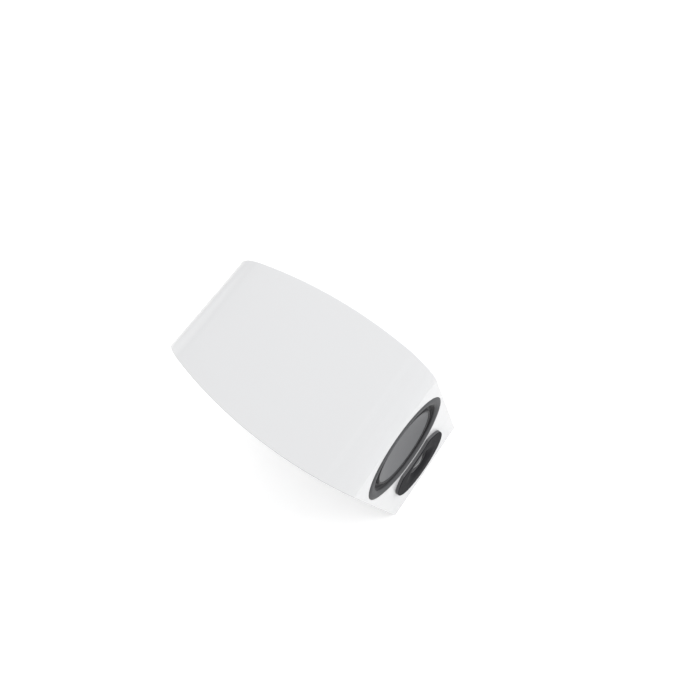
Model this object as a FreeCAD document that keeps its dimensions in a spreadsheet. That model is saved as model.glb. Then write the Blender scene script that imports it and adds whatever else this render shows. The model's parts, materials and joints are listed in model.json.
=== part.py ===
import FreeCAD, Part
import math
import os
import re
import Sketcher

# Two-way bookshelf loudspeaker with bowed sides.
# Frame: origin at the middle of the base, +Z up, the baffle faces -Y, +X is on the right when one
# stands in front of the baffle. Millimetres. Drivers and posts are drawn about a local Y axis.

SIZES = {
    # allowances
    "overcut": 1.0,
    "pilot_gap": 0.05,
    "hole_gap": 0.2,
    "head_gap": 0.3,
    # cabinet
    "cabinet_height": 305.0,
    "cabinet_depth": 271.0,
    "front_width": 146.0,
    "middle_width": 163.0,
    "rear_width": 118.6,
    "side_thickness": 12.0,
    "baffle_thickness": 18.0,
    "panel_thickness": 15.0,
    "top_front_radius": 35.0,
    "top_rear_radius": 36.0,
    "bottom_front_radius": 8.0,
    "bottom_rear_radius": 12.0,
    "brace_thickness": 12.0,
    "brace_place": -14.0,
    "brace_window_width": 84.0,
    "brace_window_bottom": 45.0,
    "brace_window_top": 255.0,
    "brace_window_corner": 12.0,
    "pad_thickness": 10.0,
    "pad_front": 2.0,
    "pad_rear": 108.0,
    "pad_bottom": 40.0,
    "pad_top": 262.0,
    # woofer: radii about its axis, depths from the baffle's face into the cabinet
    "woofer_height": 202.2,
    "trim_radius": 67.6,
    "trim_inner": 56.6,
    "trim_crown": 1.2,
    "trim_outer_edge": 0.2,
    "trim_inner_edge": 1.0,
    "trim_back": 2.5,
    "rebate_gap": 0.3,
    "woofer_rebate": 6.0,
    "woofer_hole": 60.0,
    "flange_radius": 66.8,
    "flange_inner": 56.8,
    "flange_thickness": 2.3,
    "land_front": 1.8,
    "land_radius": 61.2,
    "land_gap": 0.1,
    "roll_middle": 52.0,
    "roll_radius": 3.6,
    "rubber": 0.7,
    "cone_radius": 47.4,
    "cone_recess": 2.1,
    "cone_depth": 9.0,
    "cone_thickness": 0.9,
    "former_radius": 12.85,
    "former_wall": 0.25,
    "former_end": 44.0,
    "former_seat": 0.55,
    "winding_wall": 0.65,
    "winding_front": 32.5,
    "winding_back": 43.5,
    "spider_depth": 26.2,
    "spider_wall": 0.6,
    "spider_inner": 13.2,
    "spider_radius": 42.0,
    "spider_land": 4.0,
    "corrugation_width": 6.0,
    "corrugation_rise": 1.2,
    "seat_depth": 34.6,
    "basket_wall": 2.4,
    "basket_shoulder": 11.0,
    "basket_shoulder_drop": 1.0,
    "basket_shelf_outer": 43.0,
    "basket_shelf_inner": 37.5,
    "basket_well_radius": 34.5,
    "basket_hole": 16.0,
    "basket_seat_radius": 36.0,
    "basket_waist_radius": 45.5,
    "basket_waist_depth": 29.5,
    "basket_ribs": 6,
    "basket_window_near": 46.5,
    "basket_window_far": 56.4,
    "basket_window_half_angle": 22.0,
    "strip_front": 28.4,
    "strip_thickness": 2.2,
    "strip_width": 20.0,
    "strip_bottom": 53.0,
    "strip_height": 11.0,
    "strip_tag_spread": 6.5,
    "tag_width": 3.0,
    "tag_length": 8.0,
    "tag_thickness": 0.8,
    "washer_front": 37.0,
    "washer_back": 42.0,
    "washer_hole": 14.1,
    "washer_radius": 37.0,
    "magnet_back": 57.0,
    "magnet_hole": 18.0,
    "magnet_radius": 43.0,
    "yoke_back": 62.0,
    "yoke_radius": 41.0,
    "yoke_chamfer": 1.5,
    "pole_radius": 12.1,
    "pole_front": 36.5,
    "pole_vent": 5.0,
    "woofer_screw_circle": 63.9,
    "woofer_screw_length": 13.0,
    # every screw
    "screw_head": 2.6,
    "screw_head_height": 1.0,
    "screw_head_chamfer": 0.3,
    "screw_shank": 1.6,
    "screw_point": 0.3,
    "screw_point_length": 2.0,
    "screw_slot_length": 2.6,
    "screw_slot_width": 0.5,
    "screw_slot_depth": 0.6,
    # tweeter: radii about its axis, depths from the baffle's face into the cabinet
    "tweeter_height": 92.0,
    "plate_radius": 47.6,
    "plate_proud": 4.5,
    "plate_edge": 1.0,
    "plate_clear_of_trim": 7.5,
    "guide_radius": 33.0,
    "throat_radius": 16.2,
    "throat_lip": 0.6,
    "tweeter_rebate_radius": 37.3,
    "tweeter_flange_radius": 37.0,
    "tweeter_flange_thickness": 3.2,
    "tweeter_head_recess": 1.4,
    "gasket_thickness": 1.0,
    "tweeter_hole": 29.0,
    "tweeter_screw_circle": 32.8,
    "tweeter_screw_length": 11.0,
    "dome_radius": 12.5,
    "dome_base": 2.6,
    "dome_rise": 4.4,
    "dome_wall": 0.35,
    "tweeter_roll_radius": 0.85,
    "tweeter_rubber": 0.3,
    "tweeter_land_inner": 14.6,
    "tweeter_land_radius": 16.0,
    "tweeter_land_front": 2.7,
    "tweeter_land_thickness": 0.5,
    "tweeter_former_radius": 12.3,
    "tweeter_former_wall": 0.2,
    "tweeter_former_end": 7.6,
    "tweeter_winding_radius": 12.7,
    "tweeter_winding_front": 3.8,
    "tweeter_winding_back": 6.2,
    "tweeter_washer_back": 6.4,
    "tweeter_washer_hole": 13.2,
    "tweeter_motor_radius": 26.5,
    "tweeter_magnet_back": 14.4,
    "tweeter_magnet_hole": 16.5,
    "tweeter_yoke_back": 18.4,
    "tweeter_yoke_radius": 25.5,
    "tweeter_pole_radius": 11.7,
    "tweeter_vent": 3.5,
    "chamber_radius": 25.5,
    "chamber_back": 32.0,
    "chamber_wall": 2.0,
    "chamber_corner": 3.0,
    "chamber_tag_spread": 6.0,
    "chamber_tag_length": 7.0,
    # reflex port: depths from the rear face, outwards positive
    "port_height": 217.0,
    "port_flange_radius": 31.4,
    "port_proud": 0.6,
    "port_bore": 20.0,
    "port_flare": 11.0,
    "port_wall": 2.0,
    "port_hole": 30.4,
    "port_length": 92.0,
    "port_socket": 4.0,
    "port_end_length": 14.0,
    "port_end_radius": 29.0,
    # terminal plate on the rear panel
    "terminal_plate_width": 60.0,
    "terminal_plate_bottom": 50.0,
    "terminal_plate_top": 140.0,
    "terminal_plate_thickness": 3.0,
    "terminal_plate_proud": 0.8,
    "terminal_plate_corner": 2.5,
    "terminal_opening_width": 44.0,
    "terminal_opening_height": 74.0,
    "terminal_screw_x": 26.0,
    "terminal_screw_z": 41.0,
    "terminal_screw_length": 11.0,
    # binding posts: distances from the terminal plate's face, outwards positive
    "post_spacing": 30.0,
    "post_height": 112.0,
    "post_collar_radius": 7.0,
    "post_collar_height": 3.0,
    "post_collar_chamfer": 0.6,
    "stud_radius": 3.0,
    "stud_chamfer": 0.4,
    "stud_out": 17.0,
    "stud_in": 18.0,
    "stud_running_gap": 0.05,
    "socket_radius": 2.05,
    "socket_depth": 16.0,
    "socket_chamfer": 0.3,
    "socket_point": 1.0,
    "wire_hole_radius": 1.4,
    "wire_hole_place": 5.2,
    "nut_radius": 5.25,
    "nut_start": 3.4,
    "nut_end": 13.0,
    "nut_chamfer": 0.4,
    "nut_grooves": 24,
    "nut_groove_radius": 0.35,
    "nut_groove_circle": 5.35,
    "ring_end": 15.0,
    "ring_radius": 6.3,
    "ring_chamfer": 0.3,
    "cap_radius": 6.75,
    "cap_end": 19.6,
    "cap_bore": 3.4,
    "cap_round": 1.2,
    "cap_chamfer": 0.4,
    "inner_nut_flats": 9.0,
    "inner_nut_height": 3.5,
    # crossover board on the bottom panel
    "board_width": 104.0,
    "board_front": 18.0,
    "board_length": 84.0,
    "board_thickness": 1.6,
    "board_height": 23.0,
    "board_screw_inset": 6.0,
    "board_screw_length": 18.0,
    "spacer_radius": 4.0,
    "woofer_coil_x": 24.0,
    "woofer_coil_y": 76.0,
    "woofer_coil_hole": 7.0,
    "woofer_coil_radius": 17.0,
    "woofer_coil_height": 15.0,
    "tweeter_coil_x": 26.0,
    "tweeter_coil_y": 38.0,
    "tweeter_coil_hole": 5.0,
    "tweeter_coil_radius": 12.0,
    "tweeter_coil_height": 11.0,
    "coil_rim": 2.0,
    "capacitor_start": -48.0,
    "capacitor_rim": 1.2,
    "small_capacitor_y": 31.0,
    "small_capacitor_radius": 8.0,
    "small_capacitor_length": 32.0,
    "large_capacitor_y": 51.0,
    "large_capacitor_radius": 9.0,
    "large_capacitor_length": 38.0,
    "resistor_start": -44.0,
    "resistor_front": 68.0,
    "resistor_length": 44.0,
    "resistor_width": 10.0,
    "resistor_height": 9.0,
    "resistor_chamfer": 0.8,
    "wire_radius": 1.25,
}

doc = FreeCAD.newDocument("bookshelf_speaker")
Vector = FreeCAD.Vector
nodes = []


# ---------------------------------------------------------------- sheet and expressions

def make_sheet():
    sheet = doc.addObject("Spreadsheet::Sheet", "sizes")
    for row, (alias, value) in enumerate(SIZES.items(), 1):
        sheet.set("A%d" % row, alias)
        sheet.set("B%d" % row, str(value))
        sheet.setAlias("B%d" % row, alias)
    doc.recompute()
    return sheet


sheet = make_sheet()


def bound(text):
    """The expression with every size name pointed at its cell."""
    def point(match):
        word = match.group(0)
        return "sizes." + word if word in SIZES else word
    return re.sub(r"[A-Za-z_][A-Za-z_0-9]*", point, str(text))


def number(text):
    """The value of an expression in size names."""
    return float(sheet.evalExpression(bound(text)))


def bind(obj, prop, text):
    obj.setExpression(prop, bound(text))


def place(obj, x="0", y="0", z="0"):
    for axis, text in zip("xyz", (x, y, z)):
        bind(obj, "Placement.Base." + axis, text)
    return obj


FRONT = "(0 - cabinet_depth / 2)"
REAR = "(cabinet_depth / 2)"


# ---------------------------------------------------------------- sketches

def arc_middle(start, end, radius, side):
    """The middle of the shorter arc that bulges to the given side of the way from start to end."""
    chord = end - start
    half = chord.Length / 2
    rise = radius - math.sqrt(max(radius * radius - half * half, 0.0))
    left = Vector(-chord.y, chord.x, 0) / chord.Length
    outward = left if side == "left" else -left
    return (start + end) / 2 + outward * rise


def fix_point(sketch, geometry, position, x, y):
    """Hold a point at x, y, each an expression in size names."""
    for kind, axis, text in (("DistanceX", -2, x), ("DistanceY", -1, y)):
        value = number(text)
        if text == "0":
            sketch.addConstraint(Sketcher.Constraint("PointOnObject", geometry, position, axis))
            continue
        index = sketch.addConstraint(Sketcher.Constraint(kind, -1, 1, geometry, position, value))
        bind(sketch, "Constraints[%d]" % index, text)


def draw(sketch, outline):
    """Close an outline of corners (x, y) or (x, y, how), where how shapes the edge that leaves it:
    ("radius", size, side) for an arc of that radius, or ("through", x, y) for an arc through a point."""
    corners = [Vector(number(corner[0]), number(corner[1]), 0) for corner in outline]
    edges = []
    for here, corner in enumerate(outline):
        start = corners[here]
        end = corners[(here + 1) % len(corners)]
        how = corner[2] if len(corner) > 2 else None
        if how is None:
            edges.append(sketch.addGeometry(Part.LineSegment(start, end), False))
            continue
        if how[0] == "radius":
            middle = arc_middle(start, end, number(how[1]), how[2])
        else:
            middle = Vector(number(how[1]), number(how[2]), 0)
        edge = sketch.addGeometry(Part.Arc(start, middle, end), False)
        edges.append(edge)
        if how[0] == "radius":
            index = sketch.addConstraint(Sketcher.Constraint("Radius", edge, number(how[1])))
            bind(sketch, "Constraints[%d]" % index, how[1])
        else:
            helper = sketch.addGeometry(Part.Point(middle), True)
            fix_point(sketch, helper, 1, how[1], how[2])
            sketch.addConstraint(Sketcher.Constraint("PointOnObject", helper, 1, edge))
    for here, corner in enumerate(outline):
        first = end_near(sketch, edges[here - 1], corners[here])
        second = end_near(sketch, edges[here], corners[here])
        sketch.addConstraint(Sketcher.Constraint("Coincident", edges[here - 1], first, edges[here], second))
        fix_point(sketch, edges[here], second, corner[0], corner[1])
    return sketch


def end_near(sketch, edge, corner):
    """1 if the edge starts at the corner, 2 if it ends there."""
    starts = sketch.getPoint(edge, 1) - corner
    ends = sketch.getPoint(edge, 2) - corner
    return 1 if starts.Length < ends.Length else 2


def draw_circle(sketch, x, y, radius):
    circle = Part.Circle(Vector(number(x), number(y), 0), Vector(0, 0, 1), number(radius))
    index = sketch.addGeometry(circle, False)
    fix_point(sketch, index, 3, x, y)
    size = sketch.addConstraint(Sketcher.Constraint("Radius", index, number(radius)))
    bind(sketch, "Constraints[%d]" % size, radius)


def plane_of(body, role):
    return next(item for item in body.Origin.OriginFeatures if item.Role == role)


def body_sketch(body, name, role):
    sketch = body.newObject("Sketcher::SketchObject", name)
    sketch.AttachmentSupport = (plane_of(body, role), "")
    sketch.MapMode = "FlatFace"
    return sketch


# ---------------------------------------------------------------- building blocks

def node(obj, name):
    """Register an object as a sub-part under its name."""
    obj.Label = name
    nodes.append(obj)
    return obj


def turned(name, outline, plane="XY_Plane"):
    """A body turned about its own Y axis from an outline of (radius, depth) corners; on the XZ plane it
    turns about its Z axis."""
    body = doc.addObject("PartDesign::Body", name)
    sketch = draw(body_sketch(body, name + "_profile", plane), outline)
    turning = body.newObject("PartDesign::Revolution", name + "_turn")
    turning.Profile = sketch
    turning.ReferenceAxis = (sketch, ["V_Axis"])
    turning.Angle = 360
    return body


def ring_outline(inner, outer, front, back):
    """Corners of a plain ring with a square section."""
    return [(inner, front), (outer, front), (outer, back), (inner, back)]


def pocket(body, name, sketch, pattern=0):
    """Cut a sketch right through the body both ways, and repeat it round the Y axis."""
    before = body.Shape.Volume
    cut = body.newObject("PartDesign::Pocket", name)
    cut.Profile = sketch
    cut.Type = "ThroughAll"
    cut.Midplane = True
    doc.recompute()
    if pattern:
        polar = body.newObject("PartDesign::PolarPattern", name + "_round")
        polar.Originals = [cut]
        polar.Axis = (plane_of(body, "Y_Axis"), [""])
        polar.Angle = 360
        polar.Occurrences = pattern
        body.Tip = polar
        doc.recompute()
    if not body.Shape.Volume < before - 1e-6:
        raise RuntimeError("%s cuts nothing" % name)
    return body


def free_sketch(name, plane):
    """A sketch on the XY or YZ plane; on YZ its x runs along Y and its y along Z."""
    sketch = doc.addObject("Sketcher::SketchObject", name)
    if plane == "YZ":
        rotation = FreeCAD.Rotation(Vector(0, 1, 0), Vector(0, 0, 1), Vector(1, 0, 0), "ZXY")
        sketch.Placement = FreeCAD.Placement(Vector(0, 0, 0), rotation)
    return sketch


def extruded(name, plane, outline, length, symmetric=False):
    sketch = draw(free_sketch(name + "_outline", plane), outline)
    solid = doc.addObject("Part::Extrusion", name)
    solid.Base = sketch
    solid.DirMode = "Normal"
    solid.Solid = True
    solid.Symmetric = symmetric
    bind(solid, "LengthFwd", length)
    return solid


def box(name, low, high):
    """A Part::Box between two corners given as expressions."""
    solid = doc.addObject("Part::Box", name)
    for prop, first, last in zip(("Length", "Width", "Height"), low, high):
        bind(solid, prop, "(%s) - (%s)" % (last, first))
    return place(solid, *low)


def rod(name, radius, x, z, start, end):
    """A Part::Cylinder along +Y."""
    solid = doc.addObject("Part::Cylinder", name)
    bind(solid, "Radius", radius)
    bind(solid, "Height", "(%s) - (%s)" % (end, start))
    solid.Placement.Rotation = FreeCAD.Rotation(Vector(1, 0, 0), -90)
    return place(solid, x, start, z)


def upright(name, radius, x, y, low, high):
    """A Part::Cylinder along +Z."""
    solid = doc.addObject("Part::Cylinder", name)
    bind(solid, "Radius", radius)
    bind(solid, "Height", "(%s) - (%s)" % (high, low))
    return place(solid, x, y, low)


def common(name, *parts):
    result = doc.addObject("Part::MultiCommon", name)
    result.Shapes = list(parts)
    return result


def fused(name, *parts):
    result = doc.addObject("Part::MultiFuse", name)
    result.Shapes = list(parts)
    return result


def cut(name, base, *tools):
    """The base without the tools."""
    tool = tools[0] if len(tools) == 1 else fused(name + "_tools", *tools)
    result = doc.addObject("Part::Cut", name)
    result.Base = base
    result.Tool = tool
    return result


def mirrored(name, source):
    """The source's twin on the other side of the middle plane, as a sub-part."""
    twin = doc.addObject("Part::Mirroring", name)
    twin.Source = source
    twin.Normal = Vector(1, 0, 0)
    return node(twin, name)


def rounded_along_y(name, block, radius):
    """A box with its four edges along Y rounded."""
    result = doc.addObject("Part::Fillet", name)
    result.Base = block
    doc.recompute()
    size = number(radius)
    result.Edges = [(index, size, size) for index, edge in enumerate(block.Shape.Edges, 1)
                    if abs(edge.tangentAt(edge.FirstParameter).y) > 0.9]
    return result


def diagonal_places(circle, height):
    """Four places on a circle about an axis along Y, on its diagonals, as x and z expressions."""
    places = []
    for angle in (45, 135, 225, 315):
        places.append(("%s * cos(%d deg)" % (circle, angle),
                       "%s + %s * sin(%d deg)" % (height, circle, angle)))
    return places


def group(name, shapes):
    """Identical or paired separate solids held in one sub-part."""
    result = doc.addObject("Part::Feature", name)
    result.Shape = Part.makeCompound(shapes)
    return node(result, name)


def turned_shape(profile):
    """A solid turned about the Y axis from (radius, depth) corners joined by straight lines."""
    points = [Vector(number(radius), number(depth), 0) for radius, depth in profile]
    face = Part.Face(Part.makePolygon(points + points[:1]))
    return face.revolve(Vector(0, 0, 0), Vector(0, 1, 0), 360)


# ---------------------------------------------------------------- cabinet

def plan_outline(inset):
    """The cabinet seen from above, its sides one long arc each, moved in by an inset."""
    front = "(front_width / 2 - %s)" % inset
    middle = "(middle_width / 2 - %s)" % inset
    rear = "(rear_width / 2 - %s)" % inset
    return [(front, FRONT, ("through", middle, "0")),
            (rear, REAR),
            ("0 - " + rear, REAR, ("through", "0 - " + middle, "0")),
            ("0 - " + front, FRONT)]


def roll_at_joint(radius, thickness):
    """How high the roll into the top is where an upright panel of that thickness ends."""
    return "(cabinet_height - %s + sqrt(%s ^ 2 - (%s - %s) ^ 2))" % (radius, radius, radius, thickness)


FRONT_JOINT = roll_at_joint("top_front_radius", "baffle_thickness")
REAR_JOINT = roll_at_joint("top_rear_radius", "panel_thickness")


def side_outline():
    """A side wall seen from the side: square against the baffle, rolled at its other corners."""
    top = "cabinet_height"
    joint = FRONT + " + baffle_thickness"
    return [(joint, "0"),
            (joint, FRONT_JOINT, ("radius", "top_front_radius", "left")),
            (FRONT + " + top_front_radius", top),
            (REAR + " - top_rear_radius", top, ("radius", "top_rear_radius", "left")),
            (REAR, top + " - top_rear_radius"),
            (REAR, "bottom_rear_radius", ("radius", "bottom_rear_radius", "left")),
            (REAR + " - bottom_rear_radius", "0")]


def bowed_strip(outer, inner):
    """A strip along the cabinet's right side seen from above, between two insets from that side."""
    def at(width, inset):
        return "(%s / 2 - %s)" % (width, inset)

    return [(at("front_width", outer), FRONT, ("through", at("middle_width", outer), "0")),
            (at("rear_width", outer), REAR),
            (at("rear_width", inner), REAR, ("through", at("middle_width", inner), "0")),
            (at("front_width", inner), FRONT)]


def inner_prism(name):
    """The room between the side walls, over the cabinet's full height."""
    return extruded(name, "XY", plan_outline("side_thickness"), "cabinet_height")


def make_side_walls():
    plan = extruded("side_wall_plan", "XY", bowed_strip("0", "side_thickness"), "cabinet_height")
    side = extruded("side_wall_view", "YZ", side_outline(), "middle_width * 2", symmetric=True)
    right = node(common("right_side_wall", plan, side), "right_side_wall")
    mirrored("left_side_wall", right)


def baffle_section():
    """The front baffle seen from the side: a thick slab whose top rolls back."""
    joint = FRONT + " + baffle_thickness"
    return [(FRONT, "bottom_front_radius"),
            (FRONT, "cabinet_height - top_front_radius", ("radius", "top_front_radius", "left")),
            (joint, FRONT_JOINT),
            (joint, "0"),
            (FRONT + " + bottom_front_radius", "0", ("radius", "bottom_front_radius", "left"))]


def rear_section():
    """The rear panel seen from the side: a slab whose top rolls forward."""
    joint = REAR + " - panel_thickness"
    return [(REAR, "bottom_rear_radius", ("radius", "bottom_rear_radius", "left")),
            (REAR + " - bottom_rear_radius", "0"),
            (joint, "0"),
            (joint, REAR_JOINT, ("radius", "top_rear_radius", "left")),
            (REAR, "cabinet_height - top_rear_radius")]


def pilot_holes(name, circle, height, start, length):
    """Blind holes for a driver's screws, a little longer than the screws."""
    end = "%s + %s + overcut" % (start, length)
    return [rod("%s_%d" % (name, index), "screw_shank + pilot_gap", x, z, start, end)
            for index, (x, z) in enumerate(diagonal_places(circle, height), 1)]


def make_front_baffle():
    section = extruded("baffle_view", "YZ", baffle_section(), "middle_width * 2", symmetric=True)
    plan = extruded("baffle_plan", "XY", plan_outline("0"), "cabinet_height")
    slab = common("baffle_slab", section, plan)
    ahead = FRONT + " - overcut"
    behind = FRONT + " + baffle_thickness + overcut"
    tools = [
        rod("woofer_cutout", "woofer_hole", "0", "woofer_height", ahead, behind),
        rod("woofer_rebate_cut", "trim_radius + rebate_gap", "0", "woofer_height", ahead,
            FRONT + " + woofer_rebate"),
        rod("tweeter_cutout", "tweeter_hole", "0", "tweeter_height", ahead, behind),
        rod("tweeter_rebate_cut", "tweeter_rebate_radius", "0", "tweeter_height", ahead,
            FRONT + " + tweeter_flange_thickness + gasket_thickness"),
    ]
    tools += pilot_holes("woofer_pilot", "woofer_screw_circle", "woofer_height",
                         FRONT + " + trim_back", "woofer_screw_length")
    tools += pilot_holes("tweeter_pilot", "tweeter_screw_circle", "tweeter_height",
                         FRONT + " + tweeter_head_recess", "tweeter_screw_length")
    node(cut("front_baffle", slab, *tools), "front_baffle")


def terminal_box(name, width, height, start, end):
    """A box about the terminal plate's middle, of a width and height, between two depths."""
    middle = "(terminal_plate_bottom + terminal_plate_top) / 2"
    low = ("0 - (%s) / 2" % width, start, "%s - (%s) / 2" % (middle, height))
    high = ("(%s) / 2" % width, end, "%s + (%s) / 2" % (middle, height))
    return box(name, low, high)


def terminal_corner(index):
    """Where one of the terminal plate's four screws sits, as x and z expressions."""
    side = "" if index % 2 else "0 - "
    up = " + " if index < 2 else " - "
    middle = "(terminal_plate_bottom + terminal_plate_top) / 2"
    return side + "terminal_screw_x", middle + up + "terminal_screw_z"


def make_rear_panel():
    section = extruded("rear_view", "YZ", rear_section(), "middle_width * 2", symmetric=True)
    slab = common("rear_slab", section, inner_prism("rear_plan"))
    inside = REAR + " - panel_thickness - overcut"
    outside = REAR + " + overcut"
    rebate = "terminal_plate_thickness - terminal_plate_proud + gasket_thickness"
    height = "(terminal_plate_top - terminal_plate_bottom)"
    tools = [
        rod("port_cutout", "port_hole", "0", "port_height", inside, outside),
        terminal_box("terminal_rebate_cut", "terminal_plate_width + rebate_gap * 2",
                     height + " + rebate_gap * 2", REAR + " - (" + rebate + ")", outside),
        terminal_box("terminal_cutout", "terminal_opening_width", "terminal_opening_height", inside, outside),
    ]
    for index in range(4):
        x, z = terminal_corner(index)
        tools.append(rod("terminal_pilot_%d" % (index + 1), "screw_shank + pilot_gap", x, z,
                         REAR + " - terminal_screw_length - overcut", outside))
    node(cut("rear_panel", slab, *tools), "rear_panel")


def make_top_and_bottom():
    wide = "middle_width"
    roll = extruded("top_view", "YZ", side_outline(), "middle_width * 2", symmetric=True)
    top = box("top_slab", ("0 - " + wide, FRONT + " + baffle_thickness", "cabinet_height - panel_thickness"),
              (wide, REAR + " - panel_thickness", "cabinet_height"))
    node(common("top_panel", top, roll, inner_prism("top_plan")), "top_panel")
    bottom = box("bottom_slab", ("0 - " + wide, FRONT + " + baffle_thickness", "0"),
                 (wide, REAR + " - panel_thickness", "panel_thickness"))
    slab = common("bottom_plate", bottom, inner_prism("bottom_plan"))
    holes = [upright("board_pilot_%d" % index, "screw_shank + pilot_gap", x, y,
                     BOARD_TOP + " - board_screw_length - overcut", "panel_thickness + overcut")
             for index, (x, y) in enumerate(board_corners(), 1)]
    node(cut("bottom_panel", slab, *holes), "bottom_panel")


def make_brace():
    wide = "middle_width"
    front = "brace_place - brace_thickness / 2"
    back = "brace_place + brace_thickness / 2"
    sheet_solid = box("brace_sheet", ("0 - " + wide, front, "panel_thickness"),
                      (wide, back, "cabinet_height - panel_thickness"))
    slab = common("brace_slab", sheet_solid, inner_prism("brace_plan"))
    window = box("brace_window", ("0 - brace_window_width / 2", front + " - overcut", "brace_window_bottom"),
                 ("brace_window_width / 2", back + " + overcut", "brace_window_top"))
    rounded = rounded_along_y("brace_window_rounded", window, "brace_window_corner")
    node(cut("window_brace", slab, rounded), "window_brace")


def make_damping_pads():
    """Wadding on the inside of both side walls, behind the brace."""
    strip = bowed_strip("side_thickness", "(side_thickness + pad_thickness)")
    plan = extruded("pad_plan", "XY", strip, "cabinet_height")
    block = box("pad_block", ("0", "pad_front", "pad_bottom"), ("middle_width", "pad_rear", "pad_top"))
    right = node(common("right_damping_pad", plan, block), "right_damping_pad")
    mirrored("left_damping_pad", right)


# ---------------------------------------------------------------- port

def make_port():
    """The flared mouth, the tube behind it and the flare on the tube's inner end."""
    throat = "(port_proud - port_flare)"
    socket = "(port_proud - port_flare - port_socket)"
    tube_end = "(0 - port_length)"
    lip = "(port_bore + port_flare)"
    tube = "(port_bore + port_wall)"
    seat = "(port_hole - port_proud)"
    shell = "(port_flare - port_wall)"
    mouth = turned("port_flange", [
        (lip, "port_proud", ("radius", "port_flare", "right")),
        ("port_bore", throat),
        ("port_bore", socket),
        (tube, socket),
        (tube, throat, ("radius", shell, "left")),
        (seat, "%s + sqrt(%s ^ 2 - (%s - %s) ^ 2)" % (throat, shell, lip, seat)),
        (seat, "0"),
        ("port_flange_radius", "0"),
        ("port_flange_radius", "port_proud"),
    ])
    node(place(mouth, "0", REAR, "port_height"), "port_flange")
    straight = turned("port_tube", ring_outline("port_bore", tube, socket, tube_end))
    node(place(straight, "0", REAR, "port_height"), "port_tube")
    widening = "(port_end_radius - %s)" % tube
    curve = "(%s ^ 2 + port_end_length ^ 2) / (2 * %s)" % (widening, widening)
    end = turned("port_inner_flare", [
        ("port_bore", tube_end),
        (tube, tube_end, ("radius", curve, "right")),
        ("port_end_radius", tube_end + " - port_end_length"),
        ("port_end_radius - port_wall", tube_end + " - port_end_length", ("radius", curve, "left")),
    ])
    node(place(end, "0", REAR, "port_height"), "port_inner_flare")


# ---------------------------------------------------------------- woofer

def at_woofer(obj, name):
    return node(place(obj, "0", FRONT, "woofer_height"), name)


def round_sketch(body, name):
    """A sketch square to the body's Y axis."""
    return body_sketch(body, name, "XZ_Plane")


def make_trim_ring():
    """A crowned ring that covers the flange; pockets in its back clear the screw heads."""
    body = turned("trim_ring_blank", [
        ("trim_radius", "trim_outer_edge"),
        ("trim_radius", "trim_back"),
        ("land_radius + land_gap", "trim_back"),
        ("land_radius + land_gap", "land_front"),
        ("trim_inner", "land_front"),
        ("trim_inner", "trim_inner_edge", ("through", "(trim_radius + trim_inner) / 2", "0 - trim_crown")),
    ])
    place(body, "0", FRONT, "woofer_height")
    back = FRONT + " + trim_back"
    pockets = [rod("trim_pocket_%d" % index, "screw_head + head_gap", x, z,
                   back + " - screw_head_height - hole_gap", back + " + overcut")
               for index, (x, z) in enumerate(diagonal_places("woofer_screw_circle", "woofer_height"), 1)]
    node(cut("woofer_trim_ring", body, *pockets), "woofer_trim_ring")


def make_surround():
    """A rubber roll that dips into the cabinet, with a flat land clamped under the trim ring."""
    outer = "(roll_radius + rubber)"
    reach = "sqrt(%s ^ 2 - rubber ^ 2)" % outer
    body = turned("woofer_surround", [
        ("land_radius", "land_front"),
        ("land_radius", "land_front + rubber"),
        ("roll_middle + " + reach, "land_front + rubber", ("through", "roll_middle", "land_front + " + outer)),
        ("roll_middle - " + reach, "land_front + rubber"),
        ("roll_middle - " + outer, "land_front"),
        ("roll_middle - roll_radius", "land_front", ("through", "roll_middle", "land_front + roll_radius")),
        ("roll_middle + roll_radius", "land_front"),
    ])
    at_woofer(body, "woofer_surround")


def make_cone():
    """One smooth dish with an even wall."""
    curve = "(cone_radius ^ 2 + cone_depth ^ 2) / (2 * cone_depth)"
    back = "cone_recess + cone_thickness"
    body = turned("woofer_cone", [
        ("cone_radius", "cone_recess", ("radius", curve, "right")),
        ("0", "cone_recess + cone_depth"),
        ("0", back + " + cone_depth", ("radius", curve, "left")),
        ("cone_radius", back),
    ])
    at_woofer(body, "woofer_cone")


def make_voice_coil():
    """The former with its winding; its front edge is glued behind the dish."""
    winding = "former_radius + winding_wall"
    inner = "former_radius - former_wall"
    front = "cone_recess + cone_thickness + cone_depth - former_seat"
    body = turned("woofer_voice_coil", [
        (inner, front), ("former_radius", front), ("former_radius", "winding_front"),
        (winding, "winding_front"), (winding, "winding_back"), ("former_radius", "winding_back"),
        ("former_radius", "former_end"), (inner, "former_end"),
    ])
    at_woofer(body, "woofer_voice_coil")


def make_spider():
    """A corrugated cloth disc between the basket's shelf and the voice coil."""
    waves = 4
    edge = "spider_radius - spider_land"
    front = [("spider_radius", "spider_depth")]
    back = [("spider_radius", "spider_depth + spider_wall")]
    for wave in range(waves):
        radius = "%s - corrugation_width * %d" % (edge, wave)
        middle = "%s - corrugation_width * %s" % (edge, wave + 0.5)
        sign = "+" if wave % 2 else "-"
        rise = "spider_depth %s corrugation_rise" % sign
        front.append((radius, "spider_depth", ("through", middle, rise)))
        back.append((radius, "spider_depth + spider_wall", ("through", middle, rise + " + spider_wall")))
    last = "%s - corrugation_width * %d" % (edge, waves)
    front.append((last, "spider_depth"))
    front.append(("spider_inner", "spider_depth"))
    back.append((last, "spider_depth + spider_wall"))
    back.append(("spider_inner", "spider_depth + spider_wall"))
    at_woofer(turned("woofer_spider", front + reversed_outline(back)), "woofer_spider")


def reversed_outline(outline):
    """The same corners walked the other way, each edge keeping its shape."""
    result = []
    for here in range(len(outline) - 1, -1, -1):
        corner = outline[here][:2]
        shape = outline[here - 1][2:] if here > 0 else ()
        result.append(corner + shape)
    return result


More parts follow.
